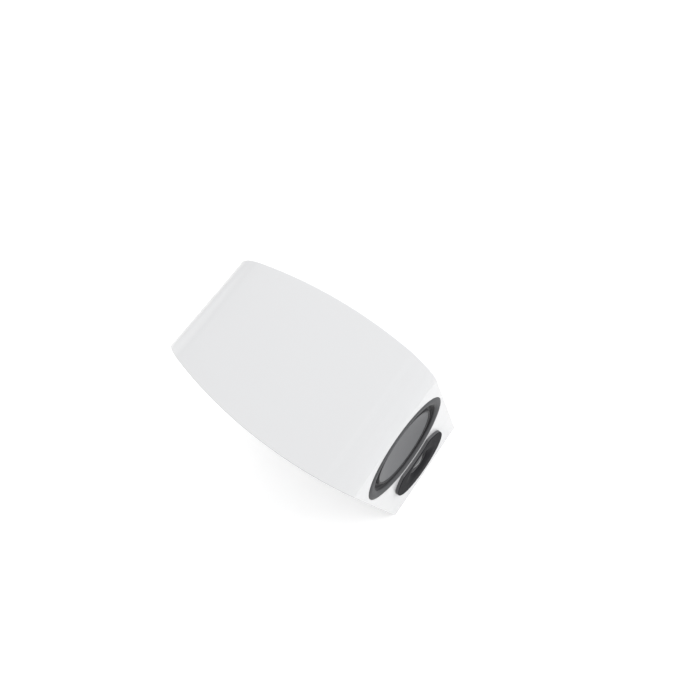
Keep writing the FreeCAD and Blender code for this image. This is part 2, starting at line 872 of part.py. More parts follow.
def make_basket():
    """The die-cast frame: flange, six ribs with windows between them, spider shelf and magnet seat."""
    collar = "flange_inner + basket_wall"
    shelf = "spider_depth + spider_wall"
    flange_back = "trim_back + flange_thickness"
    body = turned("woofer_basket", [
        ("flange_radius", "trim_back"),
        ("flange_radius", flange_back),
        (collar, flange_back),
        (collar, "basket_shoulder + basket_shoulder_drop"),
        ("basket_waist_radius", "basket_waist_depth"),
        ("basket_seat_radius", "washer_front"),
        ("basket_hole", "washer_front"),
        ("basket_hole", "seat_depth"),
        ("basket_well_radius", "seat_depth"),
        ("basket_shelf_inner", shelf),
        ("basket_shelf_outer", shelf),
        ("flange_inner", "basket_shoulder"),
        ("flange_inner", "trim_back"),
    ])
    doc.recompute()
    windows = round_sketch(body, "basket_window")
    near = "basket_window_near"
    far = "basket_window_far"
    across = "cos(basket_window_half_angle * 1 deg)"
    up = "sin(basket_window_half_angle * 1 deg)"
    draw(windows, [
        ("%s * %s" % (near, across), "0 - %s * %s" % (near, up)),
        ("%s * %s" % (far, across), "0 - %s * %s" % (far, up), ("through", far, "0")),
        ("%s * %s" % (far, across), "%s * %s" % (far, up)),
        ("%s * %s" % (near, across), "%s * %s" % (near, up), ("through", near, "0")),
    ])
    pocket(body, "basket_windows", windows, pattern=int(number("basket_ribs")))
    screw_holes(body, "basket_screw_hole", "woofer_screw_circle")
    at_woofer(body, "woofer_basket")


def screw_holes(body, name, circle):
    """Four clearance holes for screws, on the diagonals of a circle round the body's axis."""
    holes = round_sketch(body, name)
    corner = "%s * cos(45 deg)" % circle
    draw_circle(holes, corner, corner, "screw_shank + hole_gap")
    pocket(body, name + "s", holes, pattern=4)


def make_driver_gasket(placer, name, inner, outer, front, back, circle):
    body = turned(name, ring_outline(inner, outer, front, back))
    doc.recompute()
    screw_holes(body, name + "_screw_hole", circle)
    placer(body, name)


def make_woofer_motor():
    at_woofer(turned("woofer_top_plate", ring_outline(
        "washer_hole", "washer_radius", "washer_front", "washer_back")), "woofer_top_plate")
    at_woofer(turned("woofer_magnet", ring_outline(
        "magnet_hole", "magnet_radius", "washer_back", "magnet_back")), "woofer_magnet")
    at_woofer(turned("woofer_pole_piece", [
        ("pole_vent", "pole_front"), ("pole_radius", "pole_front"), ("pole_radius", "magnet_back"),
        ("yoke_radius", "magnet_back"), ("yoke_radius", "yoke_back - yoke_chamfer"),
        ("yoke_radius - yoke_chamfer", "yoke_back"), ("pole_vent", "yoke_back"),
    ]), "woofer_pole_piece")


def screw(head_start, length):
    """A pan-head screw along +Y: head, recessed cross, shank and point."""
    head_end = "(%s + screw_head_height)" % head_start
    tip = "(%s + %s)" % (head_end, length)
    body = turned_shape([
        ("0", head_start), ("screw_head - screw_head_chamfer", head_start),
        ("screw_head", head_start + " + screw_head_chamfer"),
        ("screw_head", head_end), ("screw_shank", head_end),
        ("screw_shank", tip + " - screw_point_length"), ("screw_point", tip), ("0", tip),
    ])
    long, narrow = number("screw_slot_length"), number("screw_slot_width")
    depth, ahead = number("screw_slot_depth"), number("overcut")
    for width, height in ((long, narrow), (narrow, long)):
        corner = Vector(-width / 2, number(head_start) - ahead, -height / 2)
        body = body.cut(Part.makeBox(width, depth + ahead, height, corner))
    return body


def make_driver_screws(name, circle, height, head_end, length):
    """Four screws on a circle, their heads against the driver's flange."""
    shapes = []
    for x, z in diagonal_places(circle, height):
        one = screw(head_end + " - screw_head_height", length)
        one.translate(Vector(number(x), number(FRONT), number(z)))
        shapes.append(one)
    group(name, shapes)


def make_terminal_strip():
    """A tag board on the lowest rib of the basket, with two solder tags."""
    bottom = "woofer_height - strip_bottom"
    back = FRONT + " + strip_front + strip_thickness"
    board = box("strip_board", ("0 - strip_width / 2", FRONT + " + strip_front", bottom),
                ("strip_width / 2", back, bottom + " + strip_height"))
    tags = []
    for side, sign in (("left", "0 - "), ("right", "")):
        middle = sign + "strip_tag_spread"
        tags.append(box("strip_tag_" + side, (middle + " - tag_width / 2", back, bottom + " - tag_length / 2"),
                        (middle + " + tag_width / 2", back + " + tag_thickness", bottom + " + tag_length / 2")))
    node(fused("woofer_terminal_strip", board, *tags), "woofer_terminal_strip")


# ---------------------------------------------------------------- tweeter

def at_tweeter(obj, name):
    return node(place(obj, "0", FRONT, "tweeter_height"), name)


def make_tweeter_faceplate():
    """A thick disc with a shallow flared waveguide, scalloped where it comes near the woofer's ring."""
    face = "0 - plate_proud"
    run = "(guide_radius - throat_radius)"
    drop = "(plate_proud - throat_lip)"
    flare = "(%s ^ 2 + %s ^ 2) / (2 * %s)" % (run, drop, drop)
    disc = turned("tweeter_disc", [
        ("plate_radius", "0"),
        ("plate_radius", face + " + plate_edge", ("radius", "plate_edge", "left")),
        ("plate_radius - plate_edge", face),
        ("guide_radius", face, ("radius", flare, "left")),
        ("throat_radius", "0 - throat_lip"),
        ("throat_radius", "0"),
    ])
    place(disc, "0", FRONT, "tweeter_height")
    scallop = rod("tweeter_scallop", "trim_radius + plate_clear_of_trim", "0", "woofer_height",
                  FRONT + " - plate_proud - overcut", FRONT + " + overcut")
    node(cut("tweeter_faceplate", disc, scallop), "tweeter_faceplate")


def make_tweeter_flange():
    """The mounting flange under the faceplate, with counterbored screw holes."""
    blank = turned("tweeter_flange_blank", ring_outline(
        "throat_radius", "tweeter_flange_radius", "0", "tweeter_flange_thickness"))
    place(blank, "0", FRONT, "tweeter_height")
    ahead = FRONT + " - overcut"
    tools = []
    for index, (x, z) in enumerate(diagonal_places("tweeter_screw_circle", "tweeter_height"), 1):
        tools.append(rod("tweeter_flange_hole_%d" % index, "screw_shank + hole_gap", x, z, ahead,
                         FRONT + " + tweeter_flange_thickness + overcut"))
        tools.append(rod("tweeter_flange_recess_%d" % index, "screw_head + head_gap", x, z, ahead,
                         FRONT + " + tweeter_head_recess"))
    node(cut("tweeter_flange", blank, *tools), "tweeter_flange")


def make_dome():
    curve = "(dome_radius ^ 2 + dome_rise ^ 2) / (2 * dome_rise)"
    body = turned("tweeter_dome", [
        ("dome_radius", "dome_base", ("radius", curve, "left")),
        ("0", "dome_base - dome_rise"),
        ("0", "dome_base - dome_rise + dome_wall", ("radius", curve, "right")),
        ("dome_radius", "dome_base + dome_wall"),
    ])
    at_tweeter(body, "tweeter_dome")


def make_tweeter_surround():
    """A small roll round the dome on a flat land, glued to the motor's front plate."""
    middle = "(tweeter_land_inner - tweeter_roll_radius)"
    outer = "tweeter_land_front + tweeter_land_thickness"
    body = turned("tweeter_surround", [
        ("tweeter_land_radius", "tweeter_land_front"),
        ("tweeter_land_radius", outer),
        ("tweeter_land_inner - tweeter_rubber", outer),
        ("tweeter_land_inner - tweeter_rubber", "tweeter_land_front",
         ("radius", "tweeter_roll_radius - tweeter_rubber", "left")),
        (middle + " - tweeter_roll_radius + tweeter_rubber", "tweeter_land_front"),
        (middle + " - tweeter_roll_radius", "tweeter_land_front", ("radius", "tweeter_roll_radius", "right")),
        ("tweeter_land_inner", "tweeter_land_front"),
    ])
    at_tweeter(body, "tweeter_surround")


def make_tweeter_coil():
    inner = "tweeter_former_radius - tweeter_former_wall"
    front = "dome_base + dome_wall"
    body = turned("tweeter_voice_coil", [
        (inner, front), ("tweeter_former_radius", front), ("tweeter_former_radius", "tweeter_winding_front"),
        ("tweeter_winding_radius", "tweeter_winding_front"), ("tweeter_winding_radius", "tweeter_winding_back"),
        ("tweeter_former_radius", "tweeter_winding_back"), ("tweeter_former_radius", "tweeter_former_end"),
        (inner, "tweeter_former_end"),
    ])
    at_tweeter(body, "tweeter_voice_coil")


def make_tweeter_motor():
    front = "tweeter_flange_thickness"
    at_tweeter(turned("tweeter_top_plate", ring_outline(
        "tweeter_washer_hole", "tweeter_motor_radius", front, "tweeter_washer_back")), "tweeter_top_plate")
    at_tweeter(turned("tweeter_magnet", ring_outline(
        "tweeter_magnet_hole", "tweeter_motor_radius", "tweeter_washer_back", "tweeter_magnet_back")),
        "tweeter_magnet")
    at_tweeter(turned("tweeter_pole_piece", [
        ("tweeter_vent", front), ("tweeter_pole_radius", front),
        ("tweeter_pole_radius", "tweeter_magnet_back"), ("tweeter_yoke_radius", "tweeter_magnet_back"),
        ("tweeter_yoke_radius", "tweeter_yoke_back"), ("tweeter_vent", "tweeter_yoke_back"),
    ]), "tweeter_pole_piece")


def make_tweeter_chamber():
    """The closed cup behind the motor, with two solder tags on its back."""
    cup = turned("tweeter_cup", [
        ("chamber_radius - chamber_wall", "tweeter_yoke_back"), ("chamber_radius", "tweeter_yoke_back"),
        ("chamber_radius", "chamber_back - chamber_corner", ("radius", "chamber_corner", "right")),
        ("chamber_radius - chamber_corner", "chamber_back"), ("0", "chamber_back"),
        ("0", "chamber_back - chamber_wall"), ("chamber_radius - chamber_wall", "chamber_back - chamber_wall"),
    ])
    place(cup, "0", FRONT, "tweeter_height")
    tags = []
    for side, sign in (("left", "0 - "), ("right", "")):
        middle = sign + "chamber_tag_spread"
        start = FRONT + " + chamber_back"
        tags.append(box("chamber_tag_" + side,
                        (middle + " - tag_width / 2", start, "tweeter_height - tag_thickness / 2"),
                        (middle + " + tag_width / 2", start + " + chamber_tag_length",
                         "tweeter_height + tag_thickness / 2")))
    node(fused("tweeter_rear_chamber", cup, *tags), "tweeter_rear_chamber")


# ---------------------------------------------------------------- terminal plate and posts

PLATE_FACE = "(cabinet_depth / 2 + terminal_plate_proud)"
POSTS = (("red", "0 - post_spacing / 2"), ("black", "post_spacing / 2"))


def terminal_screw_holes(name, start, end):
    """Cutting tools for the four screws in the corners of the terminal plate."""
    tools = []
    for index in range(4):
        x, z = terminal_corner(index)
        tools.append(rod("%s_%d" % (name, index + 1), "screw_shank + hole_gap", x, z, start, end))
    return tools


def make_terminal_plate():
    height = "terminal_plate_top - terminal_plate_bottom"
    back = PLATE_FACE + " - terminal_plate_thickness"
    blank = terminal_box("terminal_blank", "terminal_plate_width", height, back, PLATE_FACE)
    rounded = rounded_along_y("terminal_blank_rounded", blank, "terminal_plate_corner")
    start, end = back + " - overcut", PLATE_FACE + " + overcut"
    holes = [rod(colour + "_stud_hole", "stud_radius + hole_gap", x, "post_height", start, end)
             for colour, x in POSTS]
    holes += terminal_screw_holes("terminal_screw_hole", start, end)
    node(cut("terminal_plate", rounded, *holes), "terminal_plate")


def make_terminal_gasket():
    height = "terminal_plate_top - terminal_plate_bottom"
    front = PLATE_FACE + " - terminal_plate_thickness"
    back = front + " - gasket_thickness"
    start, end = back + " - overcut", front + " + overcut"
    blank = terminal_box("gasket_blank", "terminal_plate_width", height, back, front)
    holes = [terminal_box("gasket_opening", "terminal_opening_width", "terminal_opening_height", start, end)]
    holes += terminal_screw_holes("gasket_screw_hole", start, end)
    node(cut("terminal_gasket", blank, *holes), "terminal_gasket")


def make_terminal_screws():
    shapes = []
    for index in range(4):
        x, z = terminal_corner(index)
        one = screw("0 - screw_head_height", "terminal_screw_length")
        one.rotate(Vector(0, 0, 0), Vector(0, 0, 1), 180)
        one.translate(Vector(number(x), number(PLATE_FACE), number(z)))
        shapes.append(one)
    group("terminal_screws", shapes)


def make_post(colour, x):
    def at_post(obj, piece):
        return node(place(obj, x, PLATE_FACE, "post_height"), colour + "_post_" + piece)

    hole = "stud_radius + hole_gap"
    at_post(turned(colour + "_post_collar", [
        (hole, "0"), ("post_collar_radius", "0"),
        ("post_collar_radius", "post_collar_height - post_collar_chamfer"),
        ("post_collar_radius - post_collar_chamfer", "post_collar_height"), (hole, "post_collar_height"),
    ]), "collar")
    make_stud(colour, x)
    make_nut(colour, at_post)
    at_post(turned(colour + "_post_colour_ring", [
        ("cap_bore", "nut_end"), ("ring_radius - ring_chamfer", "nut_end"),
        ("ring_radius", "nut_end + ring_chamfer"), ("ring_radius", "ring_end - ring_chamfer"),
        ("ring_radius - ring_chamfer", "ring_end"), ("cap_bore", "ring_end"),
    ]), "colour_ring")
    at_post(turned(colour + "_post_clear_cap", [
        ("cap_bore", "ring_end"), ("cap_radius", "ring_end"),
        ("cap_radius", "cap_end - cap_round", ("radius", "cap_round", "right")),
        ("cap_radius - cap_round", "cap_end"), ("cap_bore + cap_chamfer", "cap_end"),
        ("cap_bore", "cap_end - cap_chamfer"),
    ]), "clear_cap")
    make_inner_nut(colour, x)


def make_stud(colour, x):
    """The threaded core: solid at the inner end, a plug socket in its outer end and a cross hole."""
    core = turned(colour + "_stud_core", [
        ("0", "0 - stud_in"), ("stud_radius - stud_chamfer", "0 - stud_in"),
        ("stud_radius", "0 - stud_in + stud_chamfer"), ("stud_radius", "stud_out - socket_chamfer"),
        ("stud_radius - socket_chamfer", "stud_out"), ("socket_radius + socket_chamfer", "stud_out"),
        ("socket_radius", "stud_out - socket_chamfer"), ("socket_radius", "stud_out - socket_depth"),
        ("0", "stud_out - socket_depth - socket_point"),
    ])
    place(core, x, PLATE_FACE, "post_height")
    hole = upright(colour + "_stud_cross_hole", "wire_hole_radius", x, PLATE_FACE + " + wire_hole_place",
                   "post_height - stud_radius - overcut", "post_height + stud_radius + overcut")
    node(cut(colour + "_post_stud", core, hole), colour + "_post_stud")


def make_nut(colour, at_post):
    """The gold nut, with fine grip grooves round it."""
    bore = "stud_radius + stud_running_gap"
    body = turned(colour + "_post_nut", [
        (bore, "nut_start"), ("nut_radius - nut_chamfer", "nut_start"),
        ("nut_radius", "nut_start + nut_chamfer"), ("nut_radius", "nut_end - nut_chamfer"),
        ("nut_radius - nut_chamfer", "nut_end"), (bore, "nut_end"),
    ])
    doc.recompute()
    grooves = round_sketch(body, colour + "_nut_groove")
    draw_circle(grooves, "nut_groove_circle", "0", "nut_groove_radius")
    pocket(body, colour + "_nut_grooves", grooves, pattern=int(number("nut_grooves")))
    at_post(body, "nut")


def make_inner_nut(colour, x):
    """A hexagon nut behind the terminal plate."""
    prism = doc.addObject("Part::Prism", colour + "_nut_hexagon")
    prism.Polygon = 6
    bind(prism, "Circumradius", "inner_nut_flats / sqrt(3)")
    bind(prism, "Height", "inner_nut_height")
    prism.Placement.Rotation = FreeCAD.Rotation(Vector(1, 0, 0), -90)
    start = PLATE_FACE + " - terminal_plate_thickness - inner_nut_height"
    place(prism, x, start, "post_height")
    hole = rod(colour + "_nut_thread", "stud_radius + stud_running_gap", x, "post_height",
               start + " - overcut", start + " + inner_nut_height + overcut")
    node(cut(colour + "_post_inner_nut", prism, hole), colour + "_post_inner_nut")


# ---------------------------------------------------------------- crossover

BOARD_TOP = "(board_height + board_thickness)"


def board_corners():
    """Screw places of the board, as x and y expressions."""
    side = "board_width / 2 - board_screw_inset"
    front = "board_front + board_screw_inset"
    rear = "board_front + board_length - board_screw_inset"
    return [("0 - (%s)" % side, front), (side, front), ("0 - (%s)" % side, rear), (side, rear)]


def make_board():
    blank = box("board_blank", ("0 - board_width / 2", "board_front", "board_height"),
                ("board_width / 2", "board_front + board_length", BOARD_TOP))
    holes = [upright("board_hole_%d" % index, "screw_shank + hole_gap", x, y,
                     "board_height - overcut", BOARD_TOP + " + overcut")
             for index, (x, y) in enumerate(board_corners(), 1)]
    node(cut("crossover_board", blank, *holes), "crossover_board")
    spacers = []
    screws = []
    for x, y in board_corners():
        low = Vector(number(x), number(y), number("panel_thickness"))
        rise = number("board_height - panel_thickness")
        outer = Part.makeCylinder(number("spacer_radius"), rise, low)
        spacers.append(outer.cut(Part.makeCylinder(number("screw_shank + hole_gap"), rise, low)))
        one = screw("0 - screw_head_height", "board_screw_length")
        one.rotate(Vector(0, 0, 0), Vector(1, 0, 0), -90)
        one.translate(Vector(number(x), number(y), number(BOARD_TOP)))
        screws.append(one)
    group("board_spacers", spacers)
    group("board_screws", screws)


def make_inductor(driver):
    """A wire coil wound flat on the board, with rounded rims."""
    hole, radius, height = [driver + "_coil_" + part for part in ("hole", "radius", "height")]
    body = turned(driver + "_inductor", [
        (hole, "0"), (radius + " - coil_rim", "0", ("radius", "coil_rim", "right")),
        (radius, "coil_rim"), (radius, height + " - coil_rim", ("radius", "coil_rim", "right")),
        (radius + " - coil_rim", height), (hole, height),
    ], "XZ_Plane")
    node(place(body, driver + "_coil_x", driver + "_coil_y", BOARD_TOP), driver + "_inductor")


def make_capacitors():
    """Two film capacitors lying on the board."""
    shapes = []
    for size in ("small", "large"):
        y, radius, length = [number("%s_capacitor_%s" % (size, part)) for part in ("y", "radius", "length")]
        start = Vector(number("capacitor_start"), y, number(BOARD_TOP) + radius)
        tube = Part.makeCylinder(radius, length, start, Vector(1, 0, 0))
        rims = [edge for edge in tube.Edges if edge.isClosed() and isinstance(edge.Curve, Part.Circle)]
        shapes.append(tube.makeFillet(number("capacitor_rim"), rims))
    group("crossover_capacitors", shapes)


def make_resistor():
    """A square wire-wound resistor lying on the board, its edges broken."""
    block = box("resistor_block", ("resistor_start", "resistor_front", BOARD_TOP),
                ("resistor_start + resistor_length", "resistor_front + resistor_width",
                 BOARD_TOP + " + resistor_height"))
    chamfered = doc.addObject("Part::Chamfer", "crossover_resistor")
    chamfered.Base = block
    doc.recompute()
    size = number("resistor_chamfer")
    chamfered.Edges = [(index, size, size) for index in range(1, len(block.Shape.Edges) + 1)]
    node(chamfered, "crossover_resistor")


# ---------------------------------------------------------------- internal wires

def wire_solid(points):
    """A round wire along straight runs joined by tangent arcs nearly as large as the runs allow."""
    radius = number("wire_radius")
    share = 0.45
    edges = []
    last = points[0]
    for before, here, after in zip(points, points[1:], points[2:]):
        incoming = (here - before).normalize()
        outgoing = (after - here).normalize()
        turn = incoming.getAngle(outgoing)
        reach = share * min((here - before).Length, (after - here).Length)
        start = here - incoming * reach
        end = here + outgoing * reach
        bend = reach / math.tan(turn / 2)
        inward = (outgoing - incoming).normalize()
        middle = here + inward * (bend / math.cos(turn / 2) - bend)
        edges.append(Part.LineSegment(last, start).toShape())
        edges.append(Part.Arc(start, middle, end).toShape())
        last = end
    edges.append(Part.LineSegment(last, points[-1]).toShape())
    path = Part.Wire(edges)
    section = Part.Wire(Part.makeCircle(radius, points[0], points[1] - points[0]))
    solid = path.makePipeShell([section], True, False)
    expected = path.Length * math.pi * radius ** 2
    if abs(solid.Volume - expected) > 0.01 * expected:
        raise RuntimeError("wire volume %.1f, expected %.1f" % (solid.Volume, expected))
    return solid


def wire_pair(name, spread, start, route):
    """A pair of mirrored wires from two terminals, a spread either side of the middle, down to the board.
    Each bend is (share of the spread, run along Y, drop); the last one lands on the board."""
    pair = []
    y, z = number(start[0]), number(start[1])
    for side in (-1, 1):
        x = side * number(spread)
        points = [Vector(x, y, z)]
        points += [Vector(x * share, y + run, z - drop) for share, run, drop in route[:-1]]
        share, run = route[-1]
        points.append(Vector(x * share, y + run, number(BOARD_TOP)))
        pair.append(wire_solid(points))
    group(name, pair)


def make_wires():
    wire_pair("input_wires", "post_spacing / 2", (PLATE_FACE + " - stud_in", "post_height"),
              [(1.0, -12, 3), (1.1, -17, 20), (1.5, -20, 46), (1.8, -21, 68), (1.85, -21)])
    wire_pair("woofer_wires", "strip_tag_spread",
              (FRONT + " + strip_front + strip_thickness + tag_thickness / 2",
               "woofer_height - strip_bottom - tag_length / 2"),
              [(1.2, 3, 14), (2.2, 26, 40), (3.2, 62, 62), (3.8, 96, 74), (4.0, 123, 88), (4.0, 125)])
    wire_pair("tweeter_wires", "chamber_tag_spread",
              (FRONT + " + chamber_back + chamber_tag_length", "tweeter_height"),
              [(1.0, 16, 1), (1.3, 50, 12), (1.6, 86, 22), (1.8, 116, 34), (1.8, 122)])


# ---------------------------------------------------------------- assembly

def make_cabinet():
    make_side_walls()
    make_front_baffle()
    make_rear_panel()
    make_top_and_bottom()
    make_brace()
    make_damping_pads()


def make_woofer():
    make_trim_ring()
    make_surround()
    make_cone()
    make_voice_coil()
    make_spider()
    make_basket()
    make_driver_gasket(at_woofer, "woofer_gasket", "woofer_hole + hole_gap", "flange_radius",
                       "trim_back + flange_thickness", "woofer_rebate", "woofer_screw_circle")
    make_woofer_motor()
    make_driver_screws("woofer_screws", "woofer_screw_circle", "woofer_height", "trim_back",
                       "woofer_screw_length")
    make_terminal_strip()


def make_tweeter():
    make_tweeter_faceplate()
    make_tweeter_flange()
    make_driver_gasket(at_tweeter, "tweeter_gasket", "tweeter_hole + hole_gap", "tweeter_flange_radius",
                       "tweeter_flange_thickness", "tweeter_flange_thickness + gasket_thickness",
                       "tweeter_screw_circle")
    make_dome()
    make_tweeter_surround()
    make_tweeter_coil()
    make_tweeter_motor()
    make_driver_screws("tweeter_screws", "tweeter_screw_circle", "tweeter_height", "tweeter_head_recess",
                       "tweeter_screw_length")
    make_tweeter_chamber()


def make_terminals():
    make_terminal_plate()
    make_terminal_gasket()
    make_terminal_screws()
    for colour, x in POSTS:
        make_post(colour, x)


def make_crossover():
    make_board()
    make_inductor("woofer")
    make_inductor("tweeter")
    make_capacitors()
    make_resistor()
    make_wires()


def check_document():
    doc.recompute()
    for obj in doc.Objects:
        if "Invalid" in obj.State or "Error" in obj.State:
            raise RuntimeError("%s failed: %s" % (obj.Name, obj.State))
    for part in nodes:
        if part.Shape.isNull() or not part.Shape.isValid() or not part.Shape.Solids:
            raise RuntimeError("%s has no valid shape" % part.Label)


def write_nodes():
    os.makedirs("parts", exist_ok=True)
    for part in nodes:
        part.Shape.exportStep("parts/%s.step" % part.Label)
        size = part.Shape.BoundBox
        print("%-26s solids %d volume %.0f  x %.1f..%.1f y %.1f..%.1f z %.1f..%.1f" % (
            part.Label, len(part.Shape.Solids), part.Shape.Volume, size.XMin, size.XMax,
            size.YMin, size.YMax, size.ZMin, size.ZMax))


make_cabinet()
make_port()
make_woofer()
make_tweeter()
make_terminals()
make_crossover()
check_document()
write_nodes()
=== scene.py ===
import bmesh
import bpy
import json
import math
from mathutils import Matrix, Vector


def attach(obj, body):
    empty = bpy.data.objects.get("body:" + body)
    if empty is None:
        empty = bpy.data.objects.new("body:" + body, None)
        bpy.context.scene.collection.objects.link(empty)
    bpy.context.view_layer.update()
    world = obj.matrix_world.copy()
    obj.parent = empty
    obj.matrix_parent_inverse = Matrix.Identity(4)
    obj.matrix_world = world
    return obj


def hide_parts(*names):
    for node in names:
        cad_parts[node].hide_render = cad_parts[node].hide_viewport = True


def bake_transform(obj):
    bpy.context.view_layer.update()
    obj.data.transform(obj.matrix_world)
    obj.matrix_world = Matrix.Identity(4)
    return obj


# Looks of a two-way bookshelf loudspeaker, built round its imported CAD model.
# Sizes are millimetres in the model's frame: origin in the middle of the base, +Z up, baffle facing -Y.
# Depths run along +Y: from the baffle's face for the drivers, from the rear face for the port and the
# terminal plate, and from that plate's own face for the posts.
MM = 0.001

# Cabinet: the sides bow through three half widths, and rolls are (front, rear).
HEIGHT = 305.0
FRONT = -135.5
REAR = 135.5
HALF_FRONT = 73.0
HALF_MIDDLE = 81.5
HALF_REAR = 59.3
TOP_ROLLS = (35.0, 36.0)
BOTTOM_ROLLS = (8.0, 12.0)
EDGE_ROUNDING = 0.8
SIDE_WALL = 12.0
BAFFLE = 18.0
PANEL = 15.0

# Woofer: its axis is (x, z), and the roll is the bend of its surround.
WOOFER = (0.0, 202.2)
TRIM_OUTER = 67.6
TRIM_INNER = 56.6
TRIM_TOP = -1.2
WOOFER_REBATE_RADIUS = 67.9
WOOFER_REBATE_DEPTH = 6.0
WOOFER_HOLE = 60.0
SURROUND_RADIUS = 61.0
SURROUND_LAND = 1.8
ROLL_MIDDLE = 52.0
ROLL_RADIUS = 3.6
CONE_RADIUS = 47.4
CONE_EDGE = 2.1
CONE_DISH = 9.0
CONE_THICKNESS = 0.9
SPIDER_FRONT = 26.2
COIL_RADIUS = 13.2

# Tweeter: a faceplate in front of the baffle, and the flange, gasket and dome behind it.
TWEETER = (0.0, 92.0)
PLATE_RADIUS = 47.6
PLATE_FACE = -4.5
PLATE_EDGE = 1.0
PLATE_OVERLAP = 0.2
SCALLOP_RADIUS = TRIM_OUTER + 7.5
GUIDE_RADIUS = 33.0
THROAT_RADIUS = 16.2
THROAT_LIP = -0.6
FLANGE_RADIUS = 37.0
FLANGE_BACK = 3.2
GASKET_BACK = 4.2
REBATE_GAP = 0.3
TWEETER_HOLE = 29.0
TWEETER_SCREWS = 32.8
SCREW_HEAD_HOLE = 2.9
SCREW_HEAD_DEPTH = 1.4
SCREW_SHANK_HOLE = 1.8
DOME_RADIUS = 12.5
DOME_BASE = 2.6
DOME_RISE = 4.4
DOME_THICKNESS = 0.35

# Port: depths below zero lie inside the cabinet.
PORT = (0.0, 217.0)
PORT_HOLE = 30.4
PORT_BORE = 20.0
PORT_FLARE = 11.0
PORT_WALL = 2.0
PORT_RIM = 31.4
PORT_PROUD = 0.6
PORT_END = -92.0
PORT_FLARE_END = -106.0
PORT_FLARE_RADIUS = 29.0

# Terminal plate: sizes are (width, height), with its middle at this height.
TERMINAL_MIDDLE = 95.0
TERMINAL_SIZE = (60.0, 90.0)
TERMINAL_OPENING = (44.0, 74.0)
TERMINAL_GAP = 0.3
TERMINAL_REBATE = 3.2
TERMINAL_PROUD = 0.8
TERMINAL_THICKNESS = 3.0
TERMINAL_CORNER = 2.5
TERMINAL_ROUNDING = 0.5

# Terminal posts: axes are (x, z).
POSTS = {"red": (-15.0, 112.0), "black": (15.0, 112.0)}
POST_BASE = REAR + TERMINAL_PROUD
COLLAR_BORE = 3.2
COLLAR_RADIUS = 7.0
COLLAR_END = 3.0
NUT_BORE = 3.05
NUT_RADIUS = 5.25
NUT_START = 3.4
NUT_END = 13.0
NUT_CHAMFER = 0.5
NUT_GROOVES = 24
NUT_GROOVE = 0.35
CAP_BORE = 3.4
RING_RADIUS = 6.3
RING_END = 15.0
CAP_RADIUS = 6.75
CAP_END = 19.6

# Shared by all pieces. A cutting tool reaches past the cabinet, or past a small piece, by an overcut.
WHITE = (1.0, 1.0, 1.0, 1.0)
ROUND_STEPS = 192
SMALL_ROUND_STEPS = 96
SHARP_ANGLE = 32.0
HOLE_GAP = 0.2
OVERCUT = 5.0
SMALL_OVERCUT = 1.0

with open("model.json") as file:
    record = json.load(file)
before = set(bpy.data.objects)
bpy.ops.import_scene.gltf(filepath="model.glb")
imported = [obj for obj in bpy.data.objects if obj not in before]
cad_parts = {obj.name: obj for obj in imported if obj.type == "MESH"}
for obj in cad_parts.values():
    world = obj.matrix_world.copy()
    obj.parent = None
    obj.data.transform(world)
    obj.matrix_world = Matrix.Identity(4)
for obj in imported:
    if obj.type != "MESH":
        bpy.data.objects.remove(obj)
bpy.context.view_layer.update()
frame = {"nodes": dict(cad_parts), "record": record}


# ---------------------------------------------------------------- outlines in one plane

def circle_through(a, b, c):
    """Centre and radius of the circle through three points of a plane."""
    ax, ay = a
    bx, by = b
    cx, cy = c
    twice = 2 * (ax * (by - cy) + bx * (cy - ay) + cx * (ay - by))
    a2, b2, c2 = ax * ax + ay * ay, bx * bx + by * by, cx * cx + cy * cy
    x = (a2 * (by - cy) + b2 * (cy - ay) + c2 * (ay - by)) / twice
    y = (a2 * (cx - bx) + b2 * (ax - cx) + c2 * (bx - ax)) / twice
    return (x, y), math.hypot(ax - x, ay - y)


def arc(centre, radius, first, last, steps):
    """Points on an arc between two angles in degrees."""
    points = []
    for step in range(steps + 1):
        angle = math.radians(first + (last - first) * step / steps)
        points.append((centre[0] + radius * math.cos(angle), centre[1] + radius * math.sin(angle)))
    return points


def arc_through(a, b, c, steps):
    """Points on the arc from a over b to c."""
    centre, radius = circle_through(a, b, c)
    angles = [math.degrees(math.atan2(p[1] - centre[1], p[0] - centre[0])) for p in (a, b, c)]
    last = angles[0] + (angles[2] - angles[0]) % 360
    middle = angles[0] + (angles[1] - angles[0]) % 360
    if middle > last:
        last -= 360
    return arc(centre, radius, angles[0], last, steps)


def rounded(corners, steps=5):
    """Corners (x, y) or (x, y, radius), with an arc in place of each corner that has a radius."""
    points = []
    for here, corner in enumerate(corners):
        if len(corner) == 2:
            points.append(corner)
            continue
        spot = Vector(corner[:2])
        before = (Vector(corners[here - 1][:2]) - spot).normalized()
        after = (Vector(corners[(here + 1) % len(corners)][:2]) - spot).normalized()
        half = before.angle(after) / 2
        centre = spot + (before + after).normalized() * corner[2] / math.sin(half)
        start = spot + before * corner[2] / math.tan(half) - centre
        end = spot + after * corner[2] / math.tan(half) - centre
        turn = start.angle_signed(end)
        for step in range(steps + 1):
            point = centre + Matrix.Rotation(-turn * step / steps, 2) @ start
            points.append((point.x, point.y))
    return points


def plate_radius(angle):
    """How far the faceplate reaches at an angle: its disc, or the scallop round the woofer's ring."""
    distance = WOOFER[1] - TWEETER[1]
    away = abs(math.remainder(angle - math.pi / 2, 2 * math.pi))
    inside = SCALLOP_RADIUS ** 2 - (distance * math.sin(away)) ** 2
    if away < math.pi / 2 and inside > 0:
        return min(PLATE_RADIUS, distance * math.cos(away) - math.sqrt(inside))
    return PLATE_RADIUS


